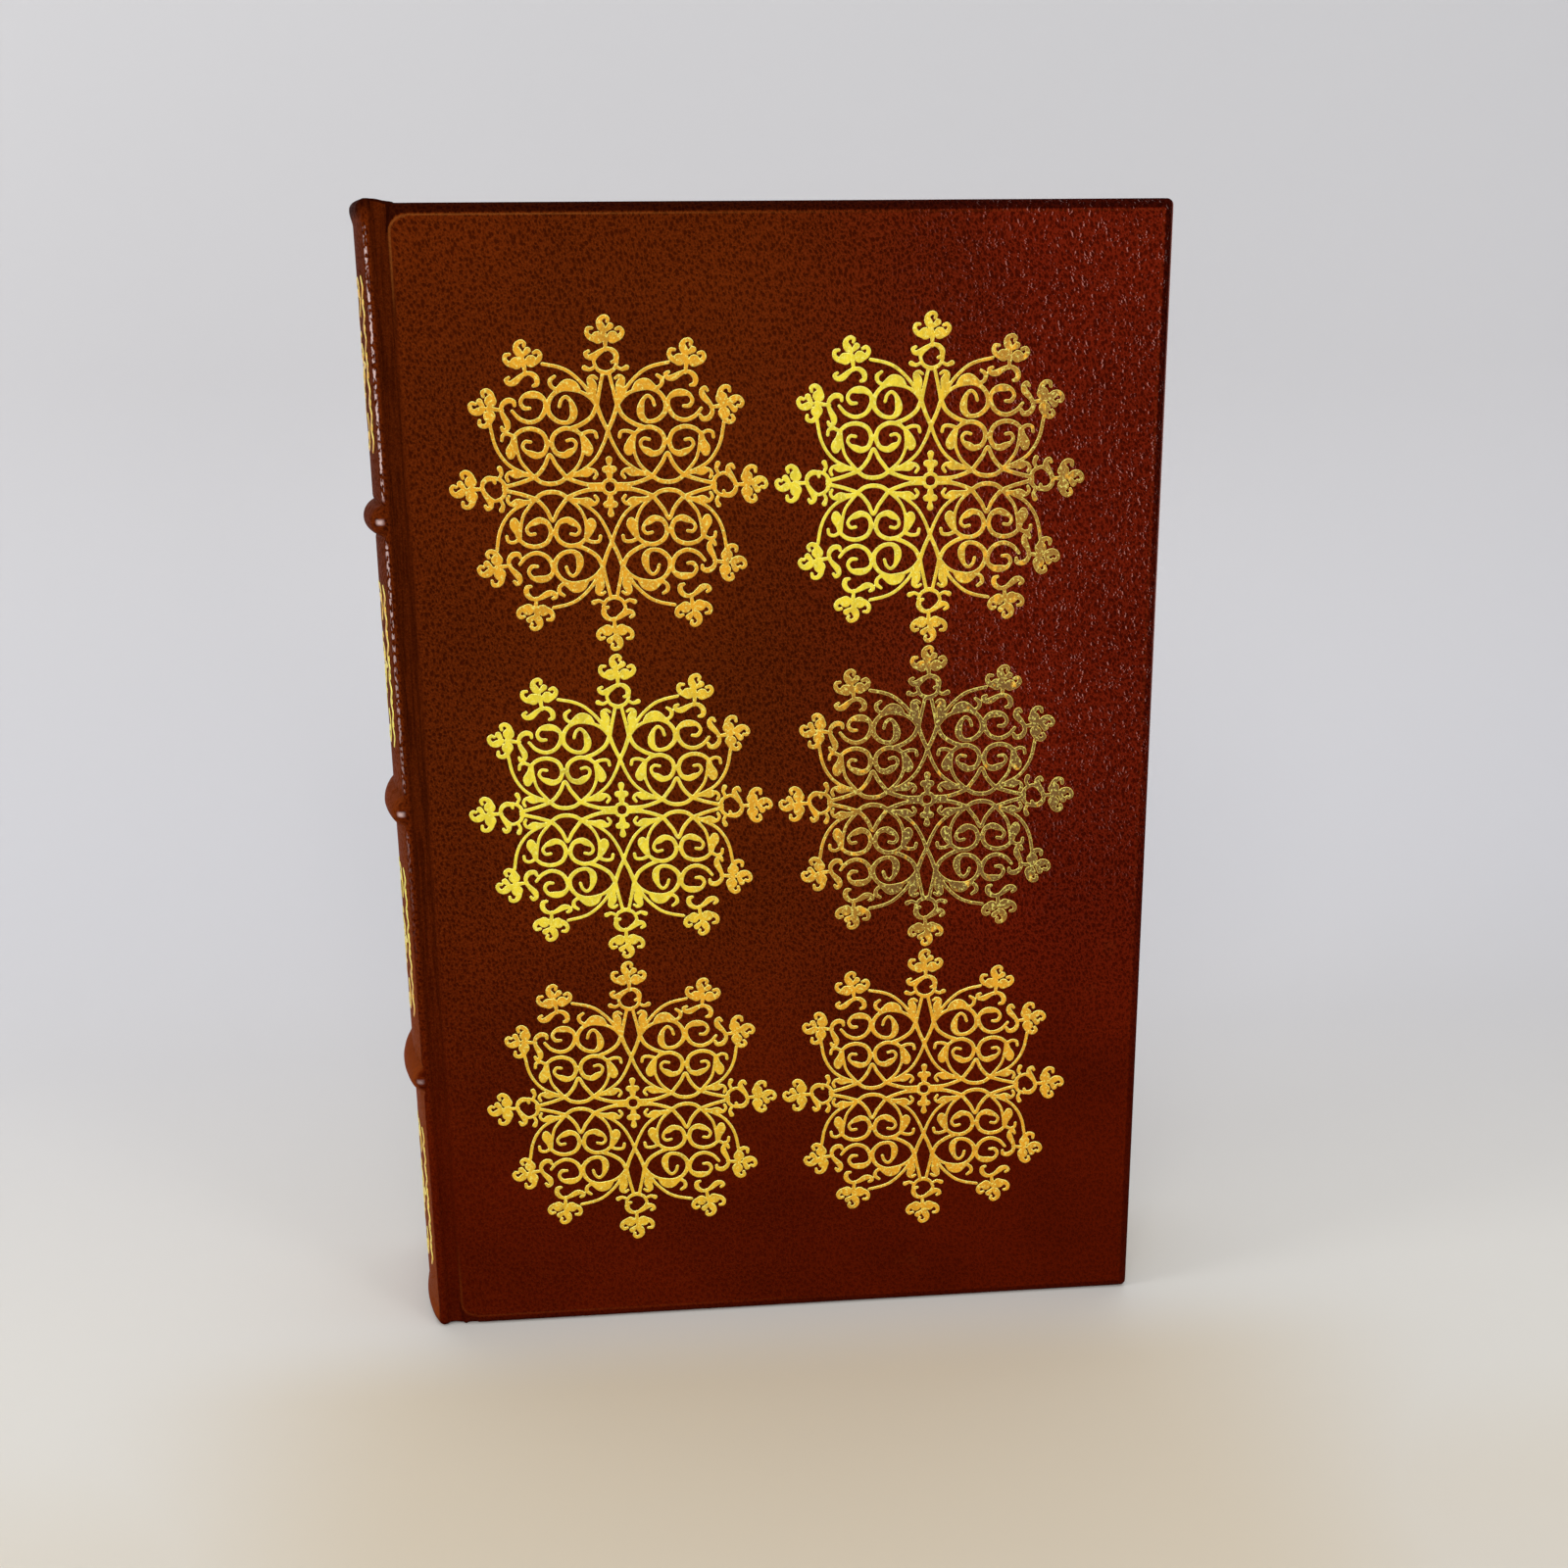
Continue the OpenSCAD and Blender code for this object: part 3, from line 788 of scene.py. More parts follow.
        # Painted highlight: the speckled streak on the shoulder beads and a spot at each end of a band,
        # mixed into the base colour.
        tone = shine.mix(tone, self.shine)
        rim = edge.ramp(0.1, 0.9) * (x.ramp(0.03, -0.06, 0.06, 0.6) * z.ramp(0.0, 0.2, 0.25, 1.0))
        tone = rim.mix(tone, self.rim)
        # Painted shade: the rounded edges darkened, more towards the head.
        tone = (edge.ramp(-0.05, -0.8) * z.ramp(0.12, 0.23, 0.4, 0.8)).mix(tone, self.edge)
        # Painted highlight: a pale line along the fore edge in its upper part.
        tone = (x.ramp(0.0811, 0.0816) * z.ramp(0.11, 0.17, 0.0, 0.55)).mix(tone, self.painted_glint)
        return {
            "Base Color": tone,
            "Roughness": pits * 0.25 + self.roughness + rub["Scratches"] * 0.06,
            "Specular IOR Level": self.specular,
            "Specular Tint": self.tint,
            "Coat Weight": (glints | shine) * 0.5,
            "Coat Roughness": self.coat_roughness,
            "Normal": (grain["Height"] - lines * 0.4).relief(self.depth),
        }


@dataclass(frozen=True)
class GiltFinish(Finish):
    """Stamped gold, crinkled by the grain, with painted highlights on its pressed edges, crinkles and
    slopes that face up, painted shade on slopes that face down, lighter or darker from place to place
    as painted reflection, and duller where rubbed.
    """

    gold: Colour = paint("f2ac12")
    painted_highlight: Colour = paint("fffa7c")
    painted_lit_gold: Colour = paint("ffec34")
    dull_and_painted_dark: Colour = paint("38200a")
    line: Colour = paint("f6cf58")
    under: Colour = paint("a8650a")
    metallic: float = 0.2
    roughness: float = 0.28
    depth: float = 0.00035
    middle_row: Span = (0.078, 0.098, 0.142, 0.162)

    def dress(self, where: Value, effects: Effects) -> Feeds:
        """Draws the surface.

        Args:
            where: Coordinates on the piece.
            effects: The shared node groups.

        Returns:
            What the surface shader's inputs get.
        """
        rub = where.through(effects.wear_and_edge_shade, Patch=90.0, Amount=0.5)
        edge = where.graph.attribute("rim")
        crinkle = where.speckle(1500.0, 3.0, 0.65)
        folds = where.mapped(Scale=(1.0, 1.0, 0.6)).speckle(620.0, 2.0, 0.6)
        x, _, z = where.xyz()
        middle = z.within(self.middle_row)
        top = z.ramp(0.15, 0.165)
        # Painted reflection: the left of the middle row and the middle of the top row lighter, and the
        # lower left a little too.
        light = middle * x.ramp(0.0, -0.03) | top * (x.ramp(-0.004, 0.004) * x.ramp(0.05, 0.02))
        painted_lower_left_light = z.ramp(0.075, 0.06, 0.0, 0.3) * x.ramp(0.03, -0.01)
        tone = (light * 0.9 | painted_lower_left_light).mix(self.gold, self.painted_lit_gold)
        # Painted reflection: the right of the middle row and the top right darker, together with rubbed
        # patches.
        painted_dark_and_rubbed = middle * x.ramp(0.0, 0.03) | top * x.ramp(0.03, 0.06, 0.0, 0.75) | rub["Patches"] * 0.35
        fold = (folds + painted_dark_and_rubbed * 0.2).ramp(0.44, 0.6)
        tone = ((painted_dark_and_rubbed * 0.68 + 0.16) * fold).mix(tone, self.dull_and_painted_dark)
        # Painted highlight: pale yellow rims where the gold is painted dark.
        tone = (painted_dark_and_rubbed * edge.ramp(0.36, 0.7, 0.0, 0.85)).mix(tone, self.line)
        # Painted highlights: sparkles on the crinkles, pale rims and slopes that face up.
        painted_sparkle = crinkle.ramp(0.52, 0.66) * 0.75
        rims = edge.ramp(0.4, 1.0) * crinkle.ramp(0.4, 0.55, 0.25, 1.0)
        slope = where.graph.add("ShaderNodeNewGeometry")["Normal"].xyz()[2]
        painted_top_light = slope.ramp(0.1, 0.3) * painted_dark_and_rubbed.ramp(0.0, 1.0, 0.8, 0.35)
        tone = (painted_sparkle | rims | painted_top_light).mix(tone, self.painted_highlight)
        return {
            # Painted shade: slopes that face down turn darker orange.
            "Base Color": slope.ramp(-0.1, -0.3, 0.0, 0.35).mix(tone, self.under),
            "Metallic": self.metallic,
            "Roughness": painted_dark_and_rubbed * 0.15 + self.roughness,
            "Normal": (crinkle * 0.4 + folds * 0.6).relief(self.depth),
        }


@dataclass(frozen=True)
class PaperFinish(Finish):
    """Aged paper, either as a sheet or as the edges of many leaves."""

    light: Colour = paint("ece0c4")
    dark: Colour = paint("cdb98c")
    spot: Colour = paint("a67c45")
    edges: bool = False
    own_map: str = ""
    sheet_depth: float = 0.00004
    edge_depth: float = 0.0002

    def dress(self, where: Value, effects: Effects) -> Feeds:
        """Draws the surface.

        Args:
            where: Coordinates on the piece.
            effects: The shared node groups.

        Returns:
            What the surface shader's inputs get.
        """
        if self.own_map:
            where = where.graph.add("ShaderNodeUVMap", uv_map=self.own_map)
        paper = where.through(effects.fibres)
        tone = paper["Cloud"].ramp(0.3, 0.7).mix(self.light, self.dark)
        tone = (paper["Flecks"].ramp(0.5, 0.75) * 0.25).mix(tone, self.dark)
        height, depth = paper["Flecks"], self.sheet_depth
        if self.edges:
            height = where.mapped(Scale=(0.02, 1.0, 0.02)).speckle(7000.0, 3.0, 0.7)
            depth = self.edge_depth
            broad = where.mapped(Scale=(0.04, 1.0, 0.04)).speckle(900.0, 2.0)
            tone = (height.ramp(0.42, 0.62) * 0.5).mix(tone, self.spot)
            tone = (broad.ramp(0.5, 0.66) * 0.4).mix(tone, self.spot)
        return {
            "Base Color": (paper["Spots"] * 0.6).mix(tone, self.spot),
            "Roughness": paper["Flecks"].ramp(0.2, 0.8, 0.62, 0.82),
            "Normal": height.relief(depth),
        }


@dataclass(frozen=True)
class ClothFinish(Finish):
    """Woven cloth or pressed card for what lies under the leather."""

    light: Colour = paint("b7a479")
    dark: Colour = paint("7f6c47")
    thread: float = 0.6
    depth: float = 0.0001

    def dress(self, where: Value, effects: Effects) -> Feeds:
        """Draws the surface.

        Args:
            where: Coordinates on the piece.
            effects: The shared node groups.

        Returns:
            What the surface shader's inputs get.
        """
        flecks = where.through(effects.fibres, Fleck=1400.0)["Flecks"]
        warp, weft = (where.graph.math("SINE", a * (TURN_PER_M / self.thread)) for a in where.xyz()[1:])
        mixed = (warp * weft).ramp(-1.0, 1.0) * 0.5 + flecks * 0.5
        return {
            "Base Color": mixed.mix(self.dark, self.light),
            "Roughness": flecks.ramp(0.2, 0.8, 0.75, 0.95),
            "Normal": mixed.relief(self.depth),
        }


@dataclass(frozen=True)
class SilkFinish(Finish):
    """Silk thread in two colours, turn by turn."""

    first: Colour = paint("a3231b")
    second: Colour = paint("d9b565")
    pitch: float = 1.6
    sheen: float = 0.3
    depth: float = 0.00008

    def dress(self, where: Value, effects: Effects) -> Feeds:
        """Draws the surface.

        Args:
            where: Coordinates on the piece.
            effects: The shared node groups.

        Returns:
            What the surface shader's inputs get.
        """
        flecks = where.through(effects.fibres, Fleck=2600.0)["Flecks"]
        wave = where.graph.math("SINE", where.xyz()[1] * (TURN_PER_M / self.pitch / 2))
        tone = wave.ramp(-0.1, 0.1).mix(self.first, self.second)
        return {
            "Base Color": tone.scaled(flecks.ramp(0.3, 0.7, 0.7, 1.15)),
            "Roughness": flecks.ramp(0.2, 0.8, 0.35, 0.6),
            "Sheen Weight": self.sheen,
            "Normal": flecks.relief(self.depth),
        }


@dataclass(frozen=True)
class StageFinish(Finish):
    """Pale floor and backdrop, seen from the front only: a warm foreground with a painted shadow and
    reflection of the book in front of it, cooler at the wall.
    """

    floor: Colour = paint("e8e5dd")
    wall: Colour = paint("dcdce0")
    far: Colour = paint("d0d1d4")
    near: Colour = paint("d8c298")

    def dress(self, where: Value, effects: Effects) -> Feeds:
        """Draws the surface.

        Args:
            where: Coordinates on the piece.
            effects: The shared node groups, of which the stage needs none.

        Returns:
            What the surface shader's inputs get.
        """
        x, y, z = where.xyz()
        cloud = where.speckle(2.2, 2.0)
        tone = y.ramp(-0.1, 0.26).mix(self.floor, self.wall)
        tone = (z + cloud * 0.25).ramp(0.15, 0.85).mix(tone, self.far)
        # A warm tint over the near floor, and a stronger warm patch in the middle in front of the book
        # as its painted shadow and reflection.
        middle = where.graph.math("ABSOLUTE", x).ramp(0.15, 0.07)
        warm_tint_and_painted_shadow = middle * y.ramp(-0.018, -0.05, 0.0, 0.5) | y.ramp(-0.05, -0.1, 0.0, 0.22)
        warm_tint_and_painted_shadow = warm_tint_and_painted_shadow * y.ramp(-0.3, -0.14)
        return {"Base Color": warm_tint_and_painted_shadow.mix(tone, self.near), "Roughness": cloud.ramp(0.2, 0.8, 0.5, 0.7)}

    def top(self, shader: Value) -> Value:
        """The surface shader from the front, and nothing from behind."""
        g = shader.graph
        back = g.add("ShaderNodeNewGeometry")["Backfacing"]
        return g.add("ShaderNodeMixShader", {0: back, 1: shader, 2: g.add("ShaderNodeBsdfTransparent")})


@dataclass
class Finishes:
    """All materials of the book and its stage."""

    leather: bpy.types.Material
    gilt: bpy.types.Material
    edges: bpy.types.Material
    paper: bpy.types.Material
    joint_paper: bpy.types.Material
    board: bpy.types.Material
    card: bpy.types.Material
    cloth: bpy.types.Material
    silk: bpy.types.Material
    stage: bpy.types.Material

    @classmethod
    def make(cls) -> Finishes:
        """Builds every material once, and keeps the frame's own plain paper for the sheets."""
        kinds = {
            "leather": LeatherFinish("dyed_leather"),
            "gilt": GiltFinish("stamped_gold"),
            "edges": PaperFinish("leaf_edges", edges=True),
            "joint_paper": PaperFinish("endpaper_at_joint", own_map="joint"),
            "board": PaperFinish("greyboard", paint("a99a7d"), paint("887a5e"), paint("5f5340")),
            "card": ClothFinish("spine_card", paint("97886a"), paint("6f6147"), 0.35),
            "cloth": ClothFinish("spine_cloth", paint("cbbd96"), paint("94855e"), 0.7),
            "silk": SilkFinish("band_silk"),
            "stage": StageFinish("stage_paper"),
        }
        effects = Effects()
        made = {key: kind.build(effects) for key, kind in kinds.items()}
        return cls(paper=bpy.data.materials["endpaper"], **made)


def running(points: np.ndarray) -> np.ndarray:
    """Distance along a line at each of its points."""
    return np.concatenate([[0], np.cumsum(np.hypot(*np.diff(points, axis=0).T))])


def wrap_arc(
    centre: tuple[float, float], radius: float, a0: float, a1: float, steps: int
) -> np.ndarray:
    """Points on an arc with their outward directions.

    Args:
        centre: Centre of the arc.
        radius: Its radius.
        a0: First angle in radians.
        a1: Last angle in radians.
        steps: Number of steps.

    Returns:
        Rows of two coordinates and a unit direction away from the centre.
    """
    a = np.linspace(a0, a1, steps + 1)
    cs = np.stack([np.cos(a), np.sin(a)], 1)
    return np.hstack([np.array(centre) + radius * cs, cs])


@dataclass
class CoverSkin:
    """Leather of one cover, from the shoulder over joint and board, turned in at three edges."""

    side: Side
    inset: float = 2.6
    edge_r: float = 1.7
    inner_r: float = 0.6
    corner_r: float = 1.4
    bead_a: float = 45.0
    joint_lap: float = 1.3
    joint_turnin: float = 2.6
    corner_centre: tuple[float, float] = (8.3, 5.6)
    corner_round: float = 3.4
    corner_dip: float = 0.5
    rim_from: float = 4.4
    board_from: float = 6.0
    end_reach: float = 60.0
    near_step: float = 0.35
    near_end: float = 11.0
    far_count: int = 46
    row_count: int = 41
    face_points: int = 12
    joint_line: tuple[tuple[float, float], ...] = (
        (2.35, 19.5), (2.9, 19.38), (3.6, 19.36), (4.15, 19.5),
        (4.6, 19.86), (5.0, 20.26), (5.5, 20.46), (6.2, 20.5),
    )

    def profile(self) -> np.ndarray:
        """Stations along the cover seen from the head, up to where the fore edge begins.

        Returns:
            Rows of place and side outside, place and side inside, and distance along the skin.
        """
        b = BOOK
        a = math.radians(self.bead_a)
        start = (b.bead_u + b.shoulder_r * math.cos(a), b.bead_w + b.shoulder_r * math.sin(a))
        before = (start[0] - 0.5, start[1] + 0.28)
        knots = [(*before, 1.0), (*start, 1.0), *[(u, w, 1.0) for u, w in self.joint_line]]
        knots.append((self.joint_line[-1][0] + 0.6, b.half_t, 1.0))
        line = spline(tuple(knots), 0.16)[:, :2]
        line = line[int(np.argmin(np.hypot(line[:, 0] - start[0], line[:, 1] - start[1]))) :]
        near = np.arange(line[-1, 0] + self.near_step, self.near_end, self.near_step)
        far = np.linspace(near[-1] + 1.0, b.cover_w - self.inset, self.far_count)
        flat_u = np.concatenate([near, far])
        outer = np.vstack([line, np.stack([flat_u, np.full_like(flat_u, b.half_t)], 1)])
        step = np.gradient(outer, axis=0)
        normal = np.stack([-step[:, 1], step[:, 0]], 1) / np.hypot(*step.T)[:, None]
        reach = b.groove_r + b.leather_t
        ring_w = b.half_t - np.sqrt(np.maximum(reach**2 - (outer[:, 0] - b.hinge_u) ** 2, 0.0))
        over_groove = np.abs(outer[:, 0] - b.hinge_u) < b.groove_r
        thick = np.where(over_groove, np.maximum(outer[:, 1] - ring_w, b.leather_t), b.leather_t)
        thick = np.convolve(np.pad(thick, 3, mode="edge"), np.ones(7) / 7, mode="valid")
        inner = outer - normal * thick[:, None]
        run = b.spine_big_r * b.half_a + b.shoulder_r * (math.pi - a - b.half_a)
        return np.hstack([outer, inner, run + running(outer)[:, None]])

    def _rows(self) -> np.ndarray:
        """Heights of the rows on the face, from tail to head."""
        h = BOOK.cover_h
        near = np.concatenate([[self.inset], np.arange(self.inset + 0.3, self.inset + 5.0, 0.4)])
        mid = np.linspace(near[-1] + 3, h - near[-1] - 3, self.row_count)
        return np.concatenate([near, mid, h - near[::-1]])

    def _corner(self, u: np.ndarray, z: np.ndarray) -> tuple[np.ndarray, np.ndarray]:
        """How far the leather sinks outside the board's cut back corners, and where its rim lies.

        Args:
            u: Places from the shoulder line.
            z: Heights.

        Returns:
            Depth, and at each point the share of rim line; -0.9 marks painted shade on the sunk leather
            outside the corner.
        """
        away = np.minimum(z, BOOK.cover_h - z)
        du = self.corner_centre[0] - u
        dz = self.corner_centre[1] - away
        past = np.hypot(np.maximum(du, 0), np.maximum(dz, 0)) - self.corner_round
        both = (du > 0) & (dz > 0)
        on_board = ease((u - 3.9) / 1.2)
        dip = np.where(both, self.corner_dip * ease(past / 1.5), 0) * on_board
        straight = np.where(both, past, np.where(du > 0, du - self.corner_round, -9.0))
        rim = np.exp(-(((straight + 0.2) / 0.3) ** 2)) * (u > self.rim_from)
        rim = rim * (0.12 + 0.88 * ease((26 - away) / 20))
        # Painted shade outside the cut back corner: -0.9.
        return dip, np.where(both & (past > 0.1) & (u > self.rim_from), -0.9, rim)

    def _section(
        self, lap: float, turnin: float, outer: float, inner: float
    ) -> tuple[np.ndarray, np.ndarray]:
        """Section over an edge, from the face round to the cavity.

        Args:
            lap: Depth from the face to the underside.
            turnin: Width of the leather turned in.
            outer: Radius at the outer edge.
            inner: Radius at the inner edge.

        Returns:
            Rows of distance from the edge and depth, and the edge value of each point: above 0 on rim
            lines, below 0 where the rounded edge is darkened as painted shade.
        """
        b = BOOK
        under = lap - b.turnin_t
        pts: list[tuple[float, float, float]] = [(self.inset, 0.0, 0.0)]
        # Edge values: above 0 on the rim lines, below 0 where the rounded edge is darkened as painted
        # shade.
        pts += [(outer + 0.5, 0.0, 1.0), (outer + 0.15, 0.0, -0.5)]
        for i, a in enumerate(np.linspace(0, math.pi / 2, 8)):
            pts.append((outer * (1 - math.sin(a)), outer * (1 - math.cos(a)), -0.7 - 0.3 * i / 7))
        low = max(outer + 0.01, lap - inner)
        pts.append((0.0, (outer + low) / 2, -1.0))
        for a in np.linspace(0, math.pi / 2, 5):
            pts.append((inner * (1 - math.cos(a)), low + (lap - low) * math.sin(a), -0.8))
        pts += [(turnin * 0.5, lap, 0.0), (turnin - 0.25, lap, 0.0), (turnin, lap - 0.2, 0.5)]
        pts += [(turnin, under, 0.0), (turnin * 0.5, under, 0.0), (b.leather_t, under, 0.0)]
        pts += [(b.leather_t, b.leather_t, 0.0), (self.inset, b.leather_t, 0.0)]
        table = np.array(pts)
        return table[:, :2], table[:, 2]

    def __post_init__(self) -> None:
        """Lays out the stations and rows of the face and the sections over its edges."""
        b = BOOK
        self.u, self.w, inner_u, inner_w, self.along = self.profile().T
        self.du, self.dw = (self.u - inner_u) / b.leather_t, (self.w - inner_w) / b.leather_t
        self.rows = self._rows()
        self.board_like = ease((self.u - 5.0) / 1.6)
        self.head_up = b.head_rise * (1 - ease((self.u - 2.2) / 3.6))
        self.tail_up = b.tail_lift * (1 - ease((self.u - 3.4) / 3.0))
        self.flat_shift = self.along[-1] - self.u[-1]
        self.full, self.wear_and_edge_shade = self._section(b.cover_t, b.turnin_w, self.edge_r, self.inner_r)
        self.slim, _ = self._section(self.joint_lap, self.joint_turnin, 0.5, 0.3)
        self.over_edge = np.arange(len(self.full)) < self.face_points

    def _near_end(self, away: np.ndarray) -> np.ndarray:
        """Share of the rise beside the spine that is left at a distance from head or tail."""
        return ease((self.inset + 3.0 - away) / (self.inset + 2.0))

    def _end_ring(self, i: int, high: bool) -> Ring:
        """Bends the section over the head or the tail edge at one station.

        Args:
            i: Number of the station.
            high: True for the head.

        Returns:
            The section.
        """
        like = self.board_like[i]
        section = (self.full if self.u[i] > self.board_from else self.slim).copy()
        most = self.face_points - 1
        section[:most] = self.slim[:most] + (self.full[:most] - self.slim[:most]) * like
        e, d = section.T
        flat_z = BOOK.cover_h - e if high else e
        z = flat_z + (self.head_up if high else self.tail_up)[i] * self._near_end(e)
        dip, rim = self._corner(np.full(len(e), self.u[i]), flat_z)
        depth = d + np.where(self.over_edge, dip, 0) * np.clip(1 - d / 3.0, 0, 1)
        ring = np.stack([self.u[i] - self.du[i] * depth, self.w[i] - self.dw[i] * depth, z], 1)
        lay = np.stack([np.full(len(e), self.along[i]), z + d if high else z - d], 1)
        wear_and_edge_shade = self.wear_and_edge_shade.copy()
        wear_and_edge_shade[1:3] *= like
        return ring, lay, np.where(self.over_edge & (np.abs(rim) > 0.1), rim, wear_and_edge_shade)

    def _fore_ring(self, j: int) -> Ring:
        """Bends the section over the fore edge at one row.

        Args:
            j: Number of the row.

        Returns:
            The section.
        """
        e, d = self.full.T
        past = np.maximum(e - self.inset, 0)
        high, low = BOOK.cover_h - self.inset, self.inset
        z = low + (self.rows[j] - low) * (high - low - 2 * past) / (high - low) + past
        ring = np.stack([BOOK.cover_w - e, BOOK.half_t - d, z], 1)
        lay = np.stack([BOOK.cover_w - e + d + self.flat_shift, np.full(len(e), self.rows[j])], 1)
        return ring, lay, self.wear_and_edge_shade

    def _corner_ring(self, share: float, high: bool) -> Ring:
        """Bends the section over a fore corner.

        Args:
            share: How far round the corner, from 0 to 1.
            high: True for the corner at the head.

        Returns:
            The section.
        """
        e, d = self.full.T
        r, turn = self.corner_r, share * math.pi / 2
        top = (math.sin(turn), math.cos(turn))
        direction = np.array(top if high else (math.cos(turn), -math.sin(turn)))
        centre = np.array([BOOK.cover_w - r, BOOK.cover_h - r if high else r])
        near = np.maximum(r - e, 0)[:, None] * direction
        beyond = np.maximum(e - r, 0)[:, None] * np.array([1.0, 1.0 if high else -1.0])
        spot = centre + near - beyond
        ring = np.stack([spot[:, 0], BOOK.half_t - d, spot[:, 1]], 1)
        return ring, spot + d[:, None] * direction + [self.flat_shift, 0], self.wear_and_edge_shade

    def _sheet(self, work: MeshWork, depth: float) -> int:
        """Adds the outside or the inside of the face.

        Args:
            work: The mesh.
            depth: 0 for the outside, or the thickness of the leather.

        Returns:
            The number of its first corner.
        """
        u, z = np.meshgrid(self.u, self.rows, indexing="ij")
        dip, rim = self._corner(u, z)
        deep = depth + (np.zeros_like(u) if depth else dip)
        lift = self.head_up[:, None] * self._near_end(BOOK.cover_h - z)
        lift = lift + self.tail_up[:, None] * self._near_end(z)
        z = z + np.where(np.abs(z - BOOK.cover_h / 2) > self.end_reach, lift, 0)
        inward = self.w[:, None] - self.dw[:, None] * deep
        sheet = np.stack([u - self.du[:, None] * deep, inward, z], -1)
        lay = np.stack([np.broadcast_to(self.along[:, None], u.shape), z], -1)
        first = work.add(sheet, lay, None if depth else rim)
        work.grid(first, *u.shape)
        return first

    def build(self, material: bpy.types.Material) -> bpy.types.Object:
        """Builds the skin as one closed mesh.

        Args:
            material: The leather.

        Returns:
            The new object.
        """
        across, up = len(self.u), len(self.rows)
        turns = np.linspace(0.1, 0.9, 5)
        rings = [self._end_ring(i, True) for i in range(across)]
        rings += [self._corner_ring(share, True) for share in turns]
        rings += [self._fore_ring(j) for j in reversed(range(up))]
        rings += [self._corner_ring(share, False) for share in turns]
        rings += [self._end_ring(i, False) for i in reversed(range(across))]
        work = MeshWork(f"{self.side.word}_cover_skin")
        first = work.loft(rings)
        k = len(self.full)
        outside, inside = self._sheet(work, 0.0), self._sheet(work, BOOK.leather_t)
        last = first + (len(rings) - 1) * k
        edge = [*range(first, first + k), *range(inside + up - 2, inside, -1)]
        edge += [*range(last + k - 1, last - 1, -1), *range(outside + 1, outside + up - 1)]
        work.faces.append(tuple(edge))
        work.turn_to(self.side)
        return work.finish(material)


